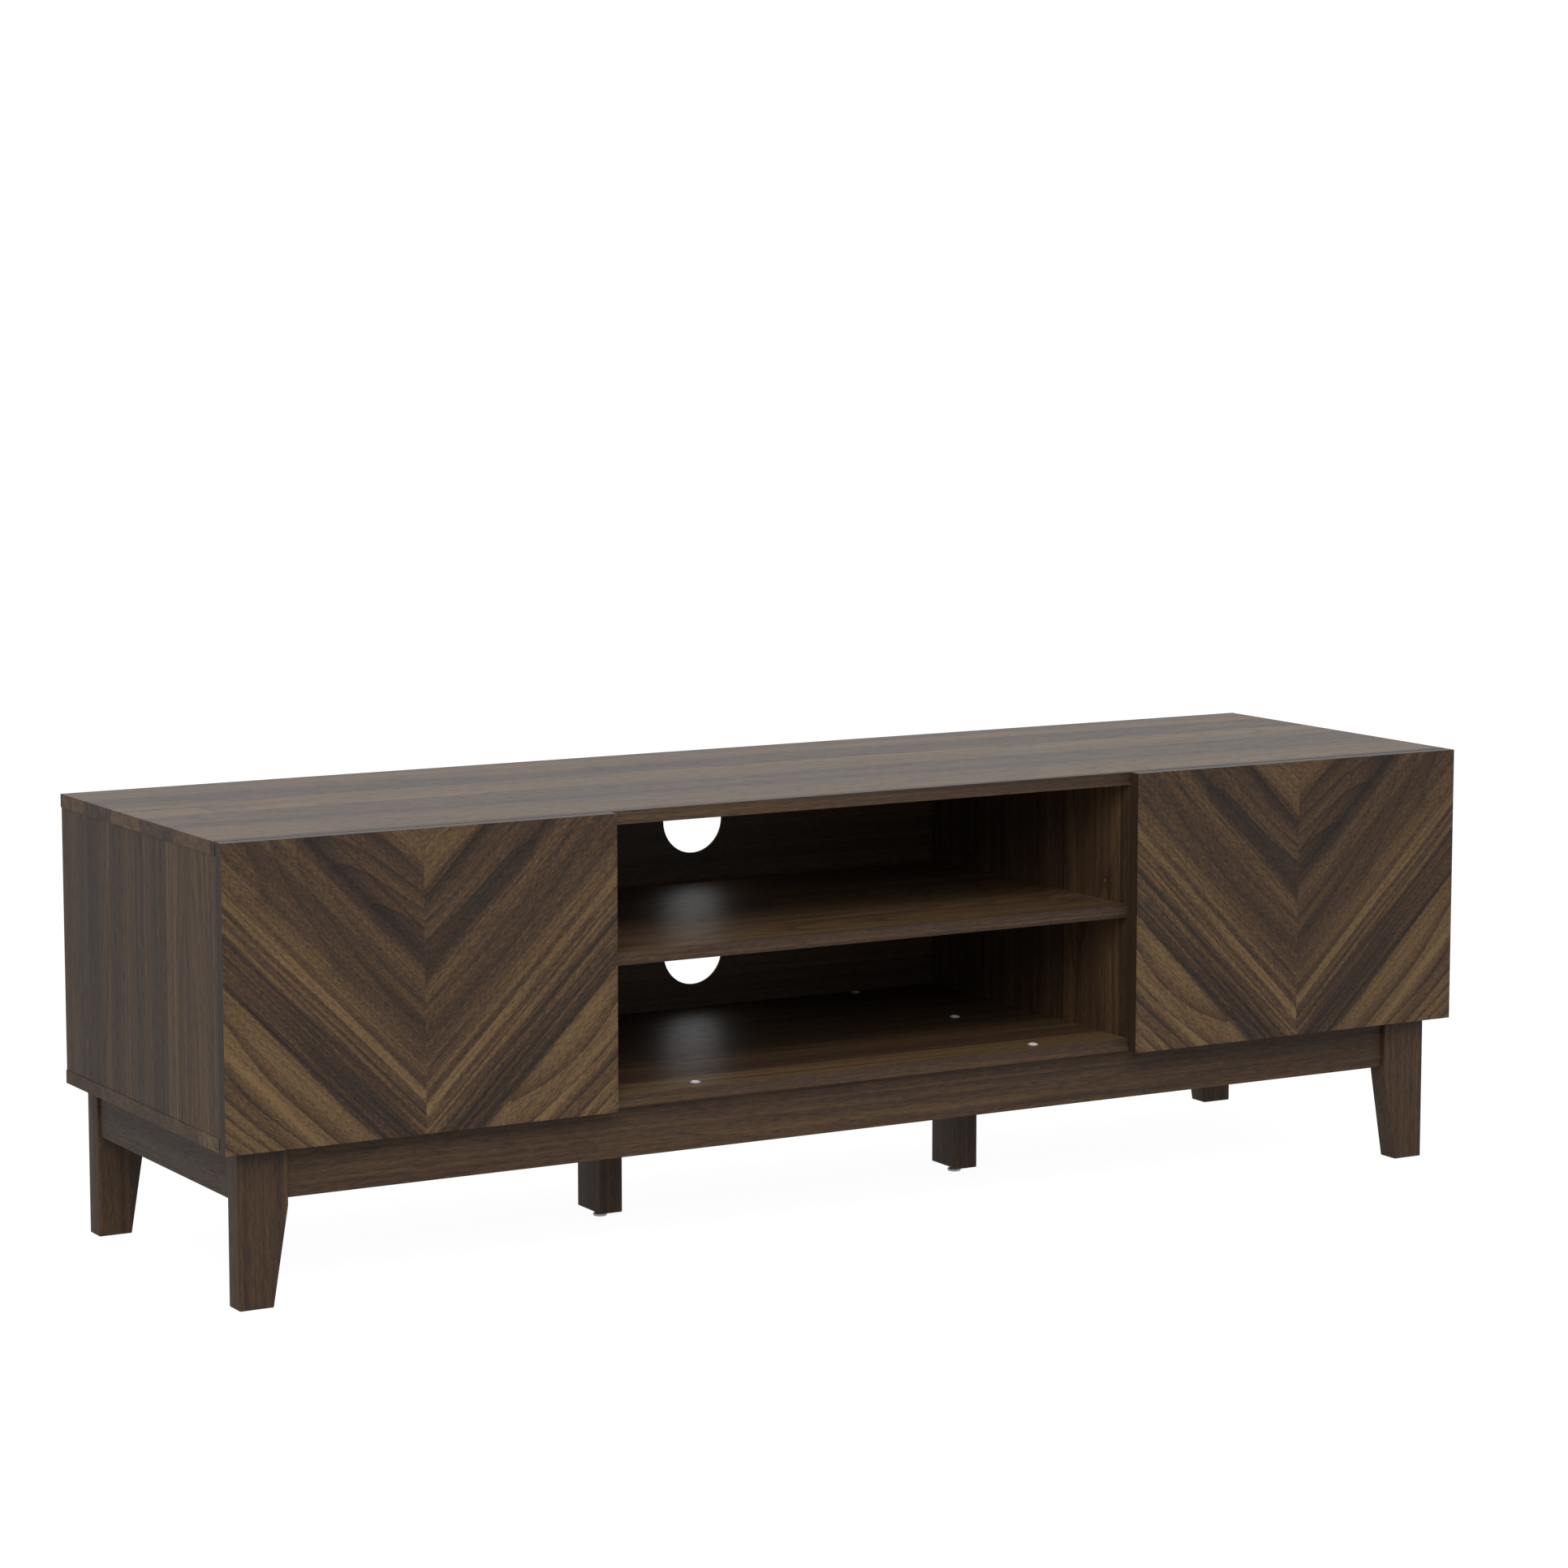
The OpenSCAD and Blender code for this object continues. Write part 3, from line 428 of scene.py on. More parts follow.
chevronLines = [      # and how strongly the straight fine lines do
    (0.00, 0.3), (0.15, 0.5), (0.20, 0.35), (0.28, 0.5), (0.30, 1.0), (0.375, 0.9), (0.388, 0.3),
    (0.56, 0.35)]
chevronSet = {
    "reach": 0.56,          # where the last stop of the three lists lies
    "rings": 17.0,
    "shift": 3.1,
    "innerShift": 0.25,     # how much the inner half's figure differs from the outer's
    "halfShift": 0.014,     # how much further up the inner half lies
    "wander": 0.005,        # how far the bands stray from straight
    "wanderNoise": (4.0, 14.0, 3.0, 0.55),
    "curl": 2.1,            # how much shorter the figure is than on the boards
    "veneer": 0.0007,       # thickness of the veneer on the front
    "backTone": 0.38,       # the other faces have a plain upright grain
    "backFigure": 0.2,
    "backShift": 6.2,
    "streak": 0.12,
    "line": 0.46,
    "cathedral": 0.28,
    "fibre": 0.26,
    "pore": -0.12,
    "contrast": 1.4,
}


def chevronVeneer(name, door, innerSign):
    # Grain at 45 degrees on both halves of the door; the inner half lies a little further up
    low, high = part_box(door)
    look = chevronSet
    made, tree = blankMaterial(name, (0.12, 0.08, 0.05))
    _, axes = objectPlace(tree)
    side = calc(tree, "MULTIPLY_ADD", axes["X"], innerSign, -innerSign * (low.x + high.x) / 2)
    inner = calc(tree, "GREATER_THAN", side, 0.0)
    out = calc(tree, "ABSOLUTE", side)
    drop = calc(tree, "SUBTRACT", high.z, axes["Z"])
    span = calc(tree, "MULTIPLY_ADD", inner, -look["halfShift"], calc(tree, "ADD", out, drop))
    along = calc(tree, "MULTIPLY", calc(tree, "SUBTRACT", drop, out),
                 look["curl"] * math.sqrt(0.5))
    across = calc(tree, "MULTIPLY", span, math.sqrt(0.5))
    grain = put(tree, "ShaderNodeCombineXYZ", {"X": along, "Y": across, "Z": axes["Y"]}).outputs[0]
    shift = calc(tree, "MULTIPLY_ADD", inner, look["innerShift"], look["shift"])
    figure = useGroup(tree, figureGroup, {"Grain": grain, "Shift": shift, "Rings": look["rings"]})
    wander = stretchedNoise(tree, grain, *look["wanderNoise"], shift)
    bent = calc(tree, "ADD", span, calc(tree, "MULTIPLY_ADD", wander, 4 * look["wander"],
                                        -2 * look["wander"]))
    place = calc(tree, "DIVIDE", bent, look["reach"])
    band, rings, lines = (
        ramp(tree, place, [(s / look["reach"], value) for s, value in stops])
        for stops in (chevronBands, chevronFigure, chevronLines))
    ringTone = calc(tree, "MULTIPLY", calc(tree, "SUBTRACT", figure["Cathedral"], ringMean), rings)
    lineTone = calc(tree, "MULTIPLY", calc(tree, "SUBTRACT", figure["Line"], 0.5), lines)
    tone = mixTone(tree, [
        (figure["Streak"], look["streak"]), (figure["Fibre"], look["fibre"]),
        (figure["Pore"], look["pore"])],
        calc(tree, "MULTIPLY_ADD", ringTone, look["cathedral"],
             calc(tree, "MULTIPLY_ADD", lineTone, look["line"], band)))
    tone = calc(tree, "MULTIPLY_ADD", tone, look["contrast"], 0.5 - look["contrast"] / 2)
    upright = put(tree, "ShaderNodeCombineXYZ", {
        "X": axes["Z"], "Y": axes["X"], "Z": axes["Y"]}).outputs[0]
    plain = useGroup(tree, figureGroup, {"Grain": upright, "Shift": look["backShift"]})
    plainTone = mixTone(tree, [
        (plain[kind], look["backFigure"]) for kind in ("Streak", "Line", "Fibre")], look["backTone"])
    faced = calc(tree, "LESS_THAN", axes["Y"], low.y + look["veneer"])
    tone = put(tree, "ShaderNodeMix", {"Factor": faced, "A": plainTone, "B": tone}).outputs["Result"]
    finishMaterial(tree, woodShader(tree, tone, figure))
    return made


shapeSet = {
    "merge": 1e-6,
    "flat": math.radians(0.5),      # faces within this angle of each other become one
    "sharpDressed": math.radians(35),
    "sharpGrid": math.radians(40),
    "bevelAngle": math.radians(40),
    "bevelSegments": 2,
}


def placePiece(name, mesh, material, node):
    # puts a mesh in place of a CAD node, on the same body
    mesh.materials.clear()
    mesh.materials.append(material)
    piece = bpy.data.objects.new(name, mesh)
    bpy.context.scene.collection.objects.link(piece)
    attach(piece, frame["nodes"][node]["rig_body"])
    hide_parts(node)
    return piece


def dressNode(node, material, edge):
    # A merged copy of the CAD piece with rounded edges stands for it
    look = shapeSet
    work = bmesh.new()
    work.from_mesh(frame["nodes"][node].data)
    bmesh.ops.remove_doubles(work, verts=work.verts, dist=look["merge"])
    bmesh.ops.dissolve_limit(work, angle_limit=look["flat"], verts=work.verts, edges=work.edges)
    mesh = bpy.data.meshes.new(node + "_finish")
    work.to_mesh(mesh)
    work.free()
    mesh.shade_smooth()
    mesh.set_sharp_from_angle(angle=look["sharpDressed"])
    piece = placePiece(node + "_finish", mesh, material, node)
    rounding = piece.modifiers.new("rounding", "BEVEL")
    rounding.width = edge
    rounding.segments = look["bevelSegments"]
    rounding.limit_method = "ANGLE"
    rounding.angle_limit = look["bevelAngle"]
    rounding.harden_normals = True


def gridPiece(node, ending, grids, material):
    # One mesh in place of a CAD node, from grids of points (rows, columns, 3). Each grid closes
    # round its columns, and a row whose points meet is a pole.
    spots, faces, start = [], [], 0
    for grid in grids:
        rows, columns = grid.shape[:2]
        index = start + np.arange(rows * columns).reshape(rows, columns)
        beside = np.roll(index, -1, axis=1)
        faces.append(np.stack([index[:-1], beside[:-1], beside[1:], index[1:]], -1).reshape(-1, 4))
        spots.append(grid.reshape(-1, 3))
        start += rows * columns
    mesh = bpy.data.meshes.new(node + ending)
    mesh.from_pydata(np.concatenate(spots).tolist(), [], np.concatenate(faces).tolist())
    work = bmesh.new()
    work.from_mesh(mesh)
    bmesh.ops.remove_doubles(work, verts=work.verts, dist=shapeSet["merge"])
    bmesh.ops.recalc_face_normals(work, faces=work.faces)
    work.to_mesh(mesh)
    work.free()
    mesh.shade_smooth()
    mesh.set_sharp_from_angle(angle=shapeSet["sharpGrid"])
    placePiece(node + ending, mesh, material, node)


def cornersOf(node):
    low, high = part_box(node)
    return np.array(low), np.array(high)


def turnOf(count):
    return np.linspace(0, 2 * np.pi, count, endpoint=False)


baseSet = {
    "round": 0.0012,        # radius of the long edges of legs and aprons
    "roundSteps": 4,
    "taperTop": 0.108,      # height at which a corner leg starts to narrow
    "footWidth": 0.039,
    "barRings": 12,
    "legRings": 50,
}


def barGrid(low, high, steps, narrow=None):
    # A bar along its third axis: rings of a rounded rectangle, drawn in at both ends by a quarter
    # circle and closed at their middles. `narrow` gives each ring's own low and high first value.
    r = baseSet["round"]
    quarter = np.linspace(0, np.pi / 2, baseSet["roundSteps"] + 1)
    rise, drawnIn = r * (1 - np.cos(quarter)), 1 - np.sin(quarter)
    level = np.concatenate([
        [low[2]], low[2] + rise, np.linspace(low[2] + 2 * r, high[2] - 2 * r, steps),
        high[2] - rise[::-1], [high[2]]])
    inset = np.concatenate([[1], drawnIn, np.zeros(steps), drawnIn[::-1], [1]]) * r
    angle = np.concatenate([quarter + k * np.pi / 2 for k in range(4)])
    cornerX = np.repeat([1, -1, -1, 1], quarter.size)
    cornerY = np.repeat([1, 1, -1, -1], quarter.size)
    straight = np.full(level.size, low[0]), np.full(level.size, high[0])
    lowX, highX = narrow(level) if narrow else straight
    middleX, halfX = (lowX + highX) / 2, (highX - lowX) / 2
    middleY, halfY = (low[1] + high[1]) / 2, (high[1] - low[1]) / 2
    shrink = inset[:, None]
    x = middleX[:, None] + cornerX * (halfX[:, None] - r) + (r - shrink) * np.cos(angle)
    y = middleY + cornerY * (halfY - r) + (r - shrink) * np.sin(angle)
    z = np.repeat(level[:, None], angle.size, axis=1)
    rings = np.stack([x, y, z], -1)
    caps = np.stack([middleX[[0, -1]], [middleY] * 2, level[[0, -1]]], -1)[:, None, :]
    caps = np.repeat(caps, angle.size, axis=1)
    return np.concatenate([caps[:1], rings, caps[1:]])


def makeBar(node, material):
    # an apron or a middle leg, along its longest side
    low, high = cornersOf(node)
    order = np.argsort(high - low)
    bar = barGrid(low[order], high[order], baseSet["barRings"])
    gridPiece(node, "_shaped", [bar[..., np.argsort(order)]], material)


def makeLeg(node, material):
    # A corner leg: straight at the top, then its inner face runs in a straight line to the foot
    low, high = cornersOf(node)
    taperTop, slack = baseSet["taperTop"], (high - low)[0] - baseSet["footWidth"]

    def narrow(level):
        drawn = slack * np.clip((taperTop - level) / taperTop, 0, 1)
        if low[0] < 0:
            return np.full(level.size, low[0]), high[0] - drawn
        return low[0] + drawn, np.full(level.size, high[0])

    leg = barGrid(low, high, baseSet["legRings"], narrow)
    gridPiece(node, "_shaped", [leg], material)


shapedWood = {node: makeLeg for node in (
    "front_left_leg", "front_right_leg", "rear_left_leg", "rear_right_leg")}
shapedWood.update({node: makeBar for node in (
    "front_apron", "rear_apron", "left_apron", "right_apron", "left_middle_leg", "right_middle_leg")})
boardLooks = {        # node: grain axis, shift of the figure, change of the look, planks
    "top_panel": ("X", 1.3, topChange, None),
    "bottom_panel": ("X", 2.6, None, floorPlanks),
    "center_shelf": ("X", 4.2, None, shelfPlanks),
    "left_cabinet_shelf": ("X", 5.1, None, None),
    "right_cabinet_shelf": ("X", 6.4, None, None),
    "left_side_panel": ("Z", 7.7, None, uprightPlanks),
    "right_side_panel": ("Z", 8.3, None, uprightPlanks),
    "left_divider": ("Z", 9.2, None, uprightPlanks),
    "right_divider": ("Z", 10.5, None, uprightPlanks),
    "back_panel": ("X", 21.3, None, None),
    "front_apron": ("X", 11.4, baseChange, None),
    "rear_apron": ("X", 12.2, baseChange, None),
    "left_apron": ("Y", 13.1, baseChange, None),
    "right_apron": ("Y", 14.6, baseChange, None),
    "front_left_leg": ("Z", 15.3, baseChange, None),
    "front_right_leg": ("Z", 16.8, baseChange, None),
    "rear_left_leg": ("Z", 17.2, baseChange, None),
    "rear_right_leg": ("Z", 18.9, baseChange, None),
    "left_middle_leg": ("Z", 19.5, baseChange, None),
    "right_middle_leg": ("Z", 20.7, baseChange, None),
}
boardEdge = 0.0006    # rounding of the edges of boards and doors
hardboardSet = {
    "fibres": 420.0,        # waves per metre
    "detail": 5.0,
    "roughness": 0.7,
    "shades": [(0.3, (0.085, 0.052, 0.030)), (0.7, (0.200, 0.130, 0.078))],
}


def hardboardBack(made, node):
    # The rear face of the back sheet is bare brown hardboard with a pressed fibre texture
    look = hardboardSet
    low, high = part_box(node)
    tree = made.node_tree
    shader = next(n for n in tree.nodes if n.type == "BSDF_PRINCIPLED")
    foil = shader.inputs["Base Color"].links[0].from_socket
    place, axes = objectPlace(tree)
    fibres = put(tree, "ShaderNodeTexNoise", {
        "Vector": place, "Scale": look["fibres"], "Detail": look["detail"],
        "Roughness": look["roughness"]}).outputs["Fac"]
    board = ramp(tree, fibres, look["shades"])
    rear = calc(tree, "GREATER_THAN", axes["Y"], (low.y + high.y) / 2)
    colourA, colourB, colourOut = 6, 7, 2       # sockets of a Mix node set to colours
    colour = put(tree, "ShaderNodeMix", {"Factor": rear, colourA: foil, colourB: board},
                 data_type="RGBA")
    tree.links.new(colour.outputs[colourOut], shader.inputs["Base Color"])


for node, (axis, shift, change, planks) in boardLooks.items():
    wood = walnutBoard("walnut_" + node, axis, shift, change, planks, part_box(node)[0].y)
    if node == "back_panel":
        hardboardBack(wood, node)
    if node in shapedWood:
        shapedWood[node](node, wood)
    else:
        dressNode(node, wood, boardEdge)
for side, innerSign in (("left", 1), ("right", -1)):
    veneer = chevronVeneer("chevron_" + side, side + "_door", innerSign)
    dressNode(side + "_door", veneer, boardEdge)
print("boards dressed")


patinaSet = {
    "clouds": 110.0,        # waves per metre
    "rubbed": (60.0, 1500.0, 2.0, 0.5),
    "grit": 1700.0,
    "cloudGain": 2.4,
    "rubbedGain": 2.0,
    "speckFrom": 0.6,
    "speckTo": 0.75,
    "rubbedRoughness": 0.08,
    "speckRoughness": 0.10,
    "reliefDepth": 0.0001,
}


def buildPatinaGroup():
    # Handling marks: soft clouds, fine rubbed lines and specks, each from 0 to 1
    floatKind = "NodeSocketFloat"
    group, source, result = newGroup(
        "patina", {"Place": "NodeSocketVector"},
        {"Clouds": floatKind, "Rubbed": floatKind, "Specks": floatKind})
    place, look = source["Place"], patinaSet
    clouds = put(group, "ShaderNodeTexNoise", {
        "Vector": place, "Scale": look["clouds"], "Detail": 4.0, "Roughness": 0.6}).outputs["Fac"]
    rubbed = stretchedNoise(group, place, *look["rubbed"])
    grit = put(group, "ShaderNodeTexNoise", {
        "Vector": place, "Scale": look["grit"], "Detail": 2.0}).outputs["Fac"]
    specks = put(group, "ShaderNodeMapRange", {
        "Value": grit, "From Min": look["speckFrom"], "From Max": look["speckTo"]}).outputs["Result"]
    for label, value in (
            ("Clouds", spread(group, clouds, look["cloudGain"])),
            ("Rubbed", spread(group, rubbed, look["rubbedGain"])), ("Specks", specks)):
        group.links.new(value, result.inputs[label])
    return group


patinaGroup = buildPatinaGroup()


def fittingMaterial(name, dark, light, roughness, metallic, relief, **sockets):
    # colour drifts from dark to light with the clouds; specks and rubbed lines change the gloss
    look = patinaSet
    made, tree = blankMaterial(name, light)
    place, _ = objectPlace(tree)
    marks = useGroup(tree, patinaGroup, {"Place": place})
    colour = ramp(tree, marks["Clouds"], [(0.0, dark), (1.0, light)])
    rough = calc(tree, "MULTIPLY_ADD", marks["Rubbed"], look["rubbedRoughness"],
                 roughness - look["rubbedRoughness"] / 2)
    rough = calc(tree, "MULTIPLY_ADD", marks["Specks"], look["speckRoughness"], rough)
    bump = put(tree, "ShaderNodeBump", {
        "Height": calc(tree, "ADD", marks["Rubbed"], marks["Specks"]),
        "Strength": relief, "Distance": look["reliefDepth"]})
    shader = put(tree, "ShaderNodeBsdfPrincipled", {
        "Base Color": colour, "Roughness": rough, "Normal": bump.outputs[0], "Metallic": metallic})
    for socket, value in sockets.items():
        shader.inputs[socket.replace("_", " ")].default_value = value
    finishMaterial(tree, shader)
    return made


zinc = fittingMaterial("zinc_plate", (0.62, 0.64, 0.68), (0.82, 0.83, 0.84), 0.34, 1.0, 0.10)
nickel = fittingMaterial("nickel_plate", (0.60, 0.58, 0.54), (0.78, 0.76, 0.72), 0.24, 1.0, 0.05)
brass = fittingMaterial("brass", (0.60, 0.42, 0.17), (0.78, 0.58, 0.26), 0.30, 1.0, 0.08)
greyPlastic = fittingMaterial("latch_grey", (0.20, 0.20, 0.21), (0.27, 0.27, 0.28), 0.48, 0.0, 0.30)
darkPlastic = fittingMaterial("plunger_dark", (0.05, 0.05, 0.055), (0.08, 0.08, 0.085), 0.38, 0.0, 0.2)
gel = fittingMaterial("clear_gel", (0.80, 0.82, 0.82), (0.90, 0.91, 0.91), 0.22, 0.0, 0.05,
                      Transmission_Weight=0.55, IOR=1.45)


beechSet = {
    "rings": 8.0,
    "shift": 2.0,
    "line": 0.4,
    "fibre": 0.3,
    "pore": -0.3,
    "roughness": 0.6,
    "shades": [(0.0, (0.42, 0.28, 0.16)), (0.5, (0.62, 0.45, 0.28)), (1.0, (0.74, 0.58, 0.40))],
}


def beechMaterial():
    # pale close-grained dowel wood with short dark flecks
    look = beechSet
    made, tree = blankMaterial("beech", (0.72, 0.56, 0.38))
    place, _ = objectPlace(tree)
    figure = useGroup(tree, figureGroup, {
        "Grain": place, "Shift": look["shift"], "Rings": look["rings"]})
    tone = mixTone(tree, [
        (figure["Line"], look["line"]), (figure["Fibre"], look["fibre"]),
        (figure["Pore"], look["pore"])], 0.5)
    finishMaterial(tree, woodShader(tree, tone, figure, look["roughness"], look["shades"]))
    return made


beech = beechMaterial()


def solidsOf(node):
    # The points of each separate solid in a CAD node. Triangles that share a corner take the lower
    # of their labels until nothing changes.
    mesh = frame["nodes"][node].data
    points = np.empty(len(mesh.vertices) * 3)
    corners = np.empty(len(mesh.loops), int)
    mesh.vertices.foreach_get("co", points)
    mesh.loops.foreach_get("vertex_index", corners)
    points = points.reshape(-1, 3)
    spots, place = np.unique(np.round(points, 6), axis=0, return_inverse=True)
    corners = place.reshape(-1)[corners].reshape(-1, 3)
    label, before = np.arange(len(spots)), None
    while before is None or (label != before).any():
        before = label.copy()
        np.minimum.at(label, corners, label[corners].min(1)[:, None])
    found = [spots[label == k] for k in np.unique(label)]
    return sorted(found, key=lambda solid: tuple(np.round(solid.min(0), 4)))


screwSet = {
    "columns": 32,
    "headRows": 10,
    "headSpread": 0.8,      # power that sets the head's rows closer to the rim
    "rimShare": 0.98,       # a point further out than this share of the radius is on the rim
    "flatHead": 0.0005,     # least height of a head
    "rowsPerTurn": 6,
    "pitch": 0.0022,
    "threadDepth": 0.16,    # share of the shank's radius
    "crossWidth": 0.16,     # share of the head's radius
    "crossReach": 0.58,
    "crossDepth": 0.75,     # share of the head's height
    "domeFall": 0.35,       # how far the dome falls by its square term
    "domeEdge": 0.45,       # and by its eighth power, close to the rim
    "point": 0.6,           # length of the blunt point, in radii of the shank
    "pointWidth": 0.55,
}


def screwGrid(points):
    # From the middle of the head out over its dome, under the rim, and down a threaded shank to a
    # blunt point. The cross is sunk where one of the two offsets is small. The thread is a cosine
    # of depth and angle.
    look = screwSet
    low, high = points.min(0), points.max(0)
    axis = int(np.argmax(high - low))
    others = [k for k in range(3) if k != axis]
    middle = (low + high) / 2
    away = np.linalg.norm(points[:, others] - middle[others], axis=1)
    rim = away.max()
    rimLevel = points[away > look["rimShare"] * rim][:, axis]
    headUp = abs(rimLevel.mean() - low[axis]) > abs(rimLevel.mean() - high[axis])
    top, tip, sign = (high[axis], low[axis], -1) if headUp else (low[axis], high[axis], 1)
    shank = np.sort(away[np.abs(points[:, axis] - tip) < 1e-5]).max()
    height = max(abs(rimLevel - top).max(), look["flatHead"])
    angle = turnOf(look["columns"])
    share = np.linspace(0, 1, look["headRows"]) ** look["headSpread"]
    r = rim * share[:, None] * np.ones(angle.size)
    across, up = r * np.cos(angle), r * np.sin(angle)
    slim = np.minimum(abs(across), abs(up)) < look["crossWidth"] * rim
    near = np.maximum(abs(across), abs(up)) < look["crossReach"] * rim
    dome = height * (look["domeFall"] * share ** 2 + look["domeEdge"] * share ** 8)
    dome = dome[:, None] * np.ones(angle.size)
    depth = np.where(slim & near, look["crossDepth"] * height, dome)
    length = abs(tip - top)
    rows = max(int((length - height) / look["pitch"] * look["rowsPerTurn"]), 4)
    down = np.linspace(height, length - shank * look["point"], rows)[:, None]
    turn = np.cos(2 * np.pi * down / look["pitch"] - angle)
    core = shank * (1 - look["threadDepth"] * (0.5 - 0.5 * turn))
    ends = np.array([[rim, height], [shank, height]])
    under = np.repeat(ends[:, None, :], angle.size, axis=1)
    point = np.array([[shank * look["pointWidth"], length], [0, length]])
    point = np.repeat(point[:, None, :], angle.size, axis=1)
    radius = np.concatenate([r, under[..., 0], core, point[..., 0]])
    level = np.concatenate([depth, under[..., 1], down * np.ones(angle.size), point[..., 1]])
    grid = np.empty((*radius.shape, 3))
    grid[..., others[0]] = middle[others[0]] + radius * np.cos(angle)
    grid[..., others[1]] = middle[others[1]] + radius * np.sin(angle)
    grid[..., axis] = top + sign * level
    return grid


def makeScrews(node, material):
    gridPiece(node, "_threaded", [screwGrid(points) for points in solidsOf(node)], material)


levellerSet = {
    "columns": 72,
    "ribs": 24,
    "ribDepth": 0.00025,
    "stem": 0.003,          # radius of the stem
    "pitch": 0.001,
    "threadDepth": 0.0003,
    "threadFrom": 0.0047,   # height above the floor side of the foot
    "threadRows": 160,
    "point": 0.0006,        # height of the stem's end, and how much it narrows there
    "pointDepth": 0.0007,
    "rim": 0.0003,          # the ribs lie this close to the widest radius
}


def makeLeveller(node):
    # A turned foot with a ribbed rim and a threaded stem: radius is a function of height and angle
    look = levellerSet
    low, high = cornersOf(node)
    middle, foot, stem = (low + high) / 2, (high[0] - low[0]) / 2, look["stem"]
    angle = turnOf(look["columns"])
    outline = np.array([      # radius, height
        [0, 0], [foot - 0.0016, 0], [foot - 0.0005, 0.0003], [foot, 0.0010], [foot, 0.0028],
        [foot - 0.0006, 0.0034], [foot - 0.0022, 0.0039], [stem + 0.0012, 0.0042], [stem, 0.0045]])
    thread = np.linspace(look["threadFrom"], high[2] - low[2] - look["point"], look["threadRows"])
    radius = np.concatenate([outline[:, 0], np.full(thread.size, stem), [stem - look["pointDepth"], 0]])
    level = np.concatenate([outline[:, 1], thread, [high[2] - low[2]] * 2])
    onRim = (radius > foot - look["rim"])[:, None]
    onStem = ((level > outline[-1, 1]) & (level < thread[-1]))[:, None]
    ribs = look["ribDepth"] * (0.5 - 0.5 * np.cos(look["ribs"] * angle))
    cut = look["threadDepth"] * (0.5 - 0.5 * np.cos(2 * np.pi * level[:, None] / look["pitch"] - angle))
    r = radius[:, None] - onRim * ribs - onStem * cut
    grid = np.stack([middle[0] + r * np.cos(angle), middle[1] + r * np.sin(angle),
                     low[2] + np.repeat(level[:, None], angle.size, axis=1)], -1)
    gridPiece(node, "_turned", [grid], zinc)


bumperSet = {
    "columns": 40,
    "rows": 10,
    "fall": 0.75,           # share of the height that is lost at the rim
}


def makeBumpers(node):
    # Each bumper is a low gel dome: its height falls as the fourth power of the radius
    angle = turnOf(bumperSet["columns"])
    share = np.linspace(0, 1, bumperSet["rows"])
    domes = []
    for points in solidsOf(node):
        low, high = points.min(0), points.max(0)
        middle, rim = (low + high) / 2, (high[0] - low[0]) / 2
        radius = np.concatenate([share, [1, 0]])[:, None] * rim
        rise = np.concatenate([1 - bumperSet["fall"] * share ** 4, [0, 0]])[:, None] * (high[1] - low[1])
        domes.append(np.stack([middle[0] + radius * np.cos(angle), low[1] + rise * np.ones(angle.size),
                               middle[2] + radius * np.sin(angle)], -1))
    gridPiece(node, "_domed", domes, gel)


springSet = {
    "turns": 9,
    "wire": 0.0004,         # radius of the wire
    "columns": 10,
    "rowsPerTurn": 28,
    "closing": 0.20,        # how much the end turns draw together
}


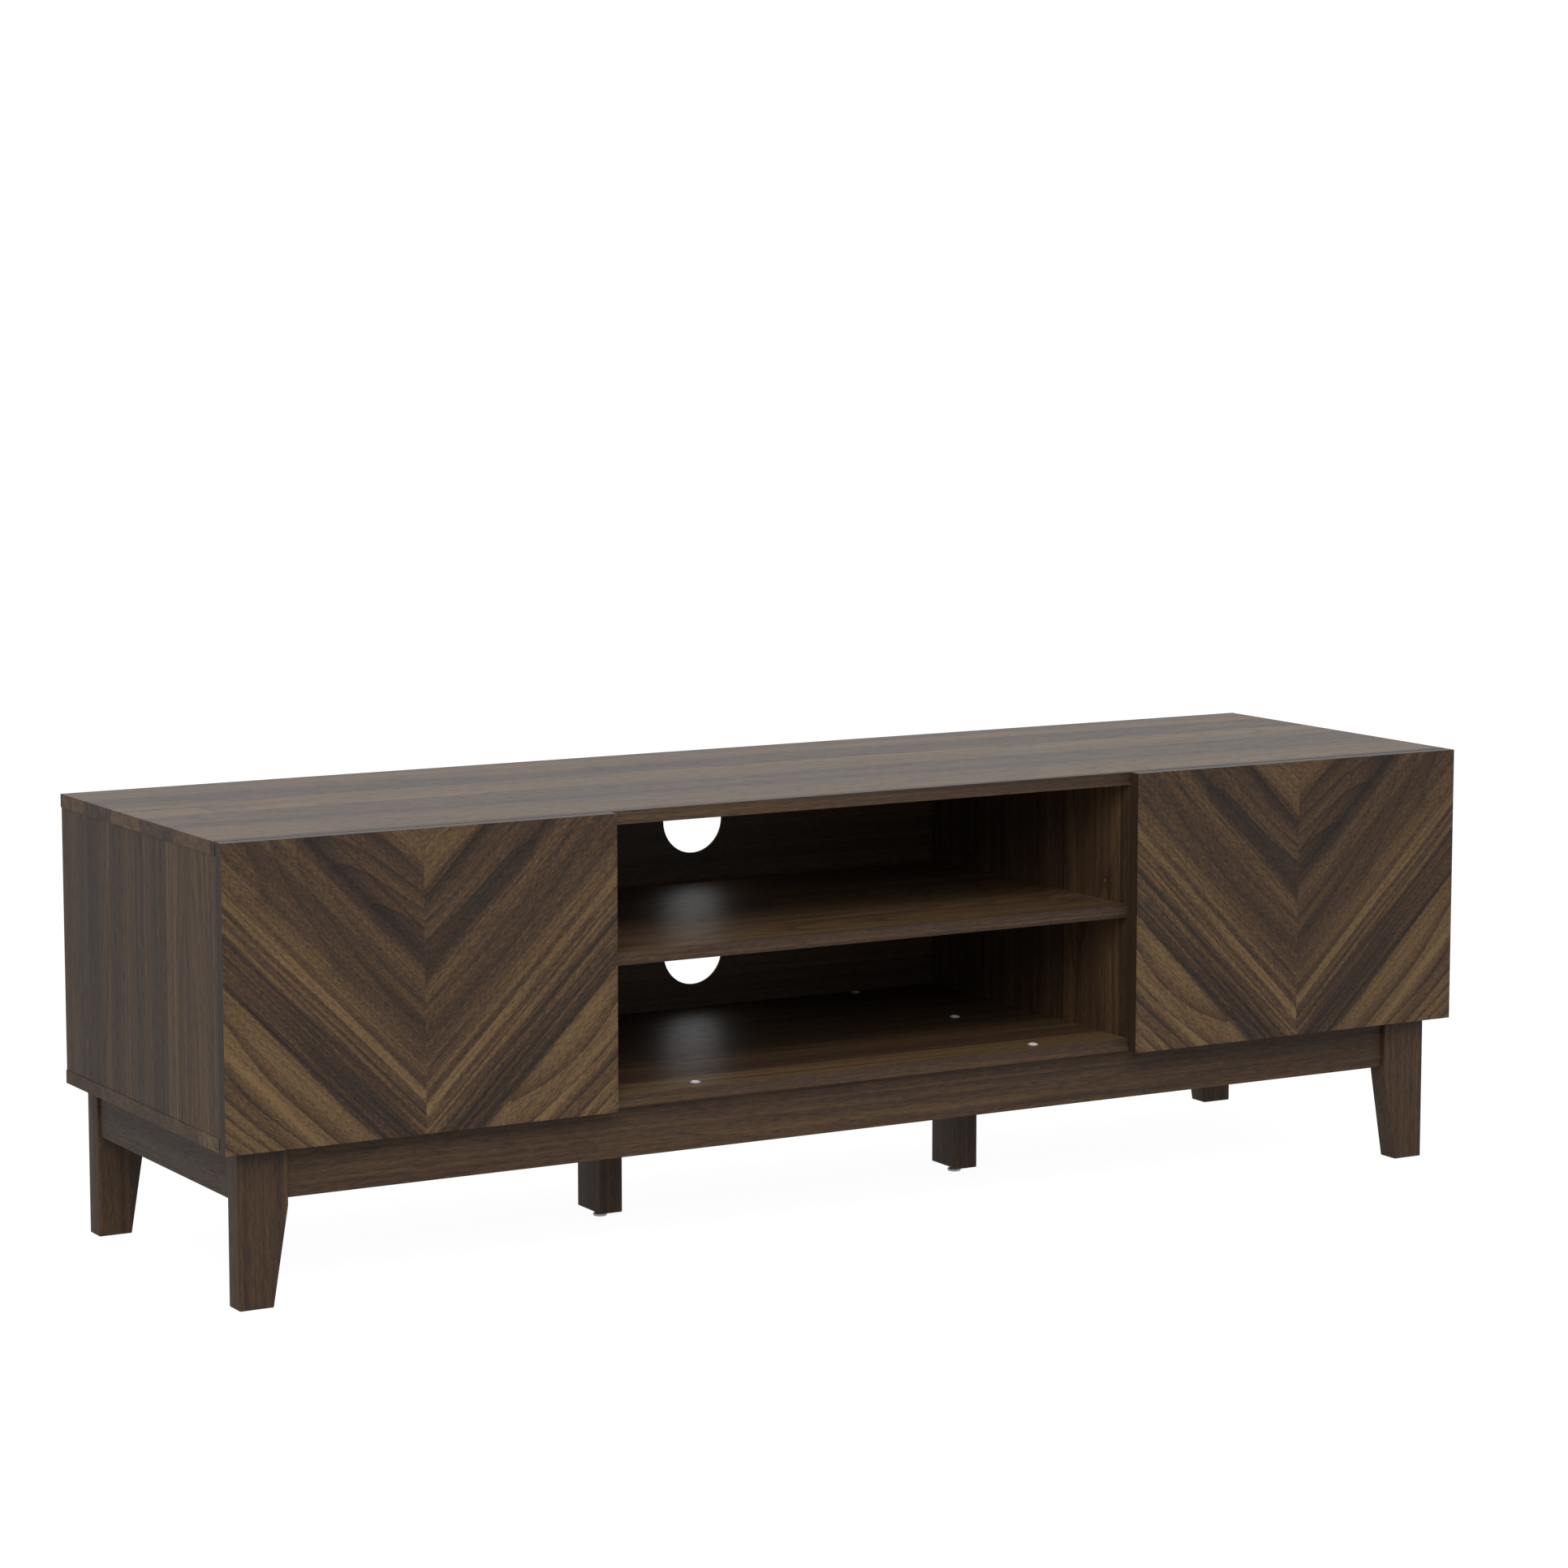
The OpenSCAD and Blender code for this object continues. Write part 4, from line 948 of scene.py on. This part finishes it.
def makeSprings(node):
    # a round wire on a helix whose turns close up at both ends
    look = springSet
    coils = []
    for points in solidsOf(node):
        low, high = points.min(0) + look["wire"], points.max(0) - look["wire"]
        middle, coil = (low + high) / 2, (high[0] - low[0]) / 2
        along = np.linspace(0, 1, look["turns"] * look["rowsPerTurn"])
        angle = 2 * np.pi * look["turns"] * along
        level = low[1] + (high[1] - low[1]) * (along - look["closing"] * np.sin(2 * np.pi * along) / np.pi)
        around = turnOf(look["columns"])
        wire = look["wire"] * np.concatenate([[0], np.ones(along.size), [0]])[:, None]
        angle = np.concatenate([angle[:1], angle, angle[-1:]])[:, None]
        level = np.concatenate([level[:1], level, level[-1:]])[:, None]
        r = coil + wire * np.cos(around)
        coils.append(np.stack([middle[0] + r * np.cos(angle), level + wire * np.sin(around),
                               middle[2] + r * np.sin(angle)], -1))
    gridPiece(node, "_wound", coils, zinc)


# Screw heads on the base and the middle legs: zinc made whiter and less metallic than the plain zinc. Its
# pale colour is partly the plating and partly a painted glint, so the heads read as bright dots though
# they reflect only the dark interior.
glintPaintedZinc = fittingMaterial(
    "bright_zinc_with_painted_glint", (0.80, 0.81, 0.83), (0.93, 0.93, 0.93), 0.55, 0.45, 0.10)
for node in ("base_screws", "middle_leg_bolts"):
    makeScrews(node, glintPaintedZinc)
brownZinc = fittingMaterial(
    "browned_zinc", (0.16, 0.12, 0.09), (0.24, 0.19, 0.14), 0.50, 0.6, 0.10)
makeScrews("shelf_screws", brownZinc)
makeScrews("bracket_screws", zinc)
for node in ("hinge_plate_screws", "left_cup_screws", "right_cup_screws", "latch_screws"):
    makeScrews(node, nickel)
for node in ("left_leveller", "right_leveller"):
    makeLeveller(node)
for node in ("left_bumpers", "right_bumpers"):
    makeBumpers(node)
makeSprings("latch_springs")

fittingLooks = {      # node: material, edge rounding, slot
    "cam_locks": (zinc, 0.0003, "zinc_steel"),
    "cam_bolts": (zinc, 0.0002, "zinc_steel"),
    "shelf_pins": (zinc, 0.0003, "zinc_steel"),
    "corner_brackets": (zinc, 0.0004, "zinc_steel"),
    "leveller_inserts": (brass, 0.0003, "brass_insert"),
    "carcass_dowels": (beech, 0.0005, "beech"),
    "base_dowels": (beech, 0.0005, "beech"),
    "hinge_plates": (nickel, 0.0004, "nickel_steel"),
    "hinge_arms": (nickel, 0.0005, "nickel_steel"),
    "hinge_arm_pins": (nickel, 0.0002, "nickel_steel"),
    "latch_housings": (greyPlastic, 0.0008, "latch_plastic"),
}
for side in ("left", "right"):
    fittingLooks.update({
        side + "_hinge_cups": (nickel, 0.0002, "nickel_steel"),
        side + "_cup_pins": (nickel, 0.0002, "nickel_steel"),
        side + "_hinge_links": (nickel, 0.0003, "nickel_steel"),
        side + "_strike_plate": (zinc, 0.0002, "zinc_steel"),
        side + "_strike_screw": (zinc, 0.0002, "zinc_steel"),
        side + "_latch_plunger": (darkPlastic, 0.0006, "plunger_plastic"),
    })
for node, (finish, edge, slot) in fittingLooks.items():
    dressNode(node, finish, edge)
print("fittings dressed")
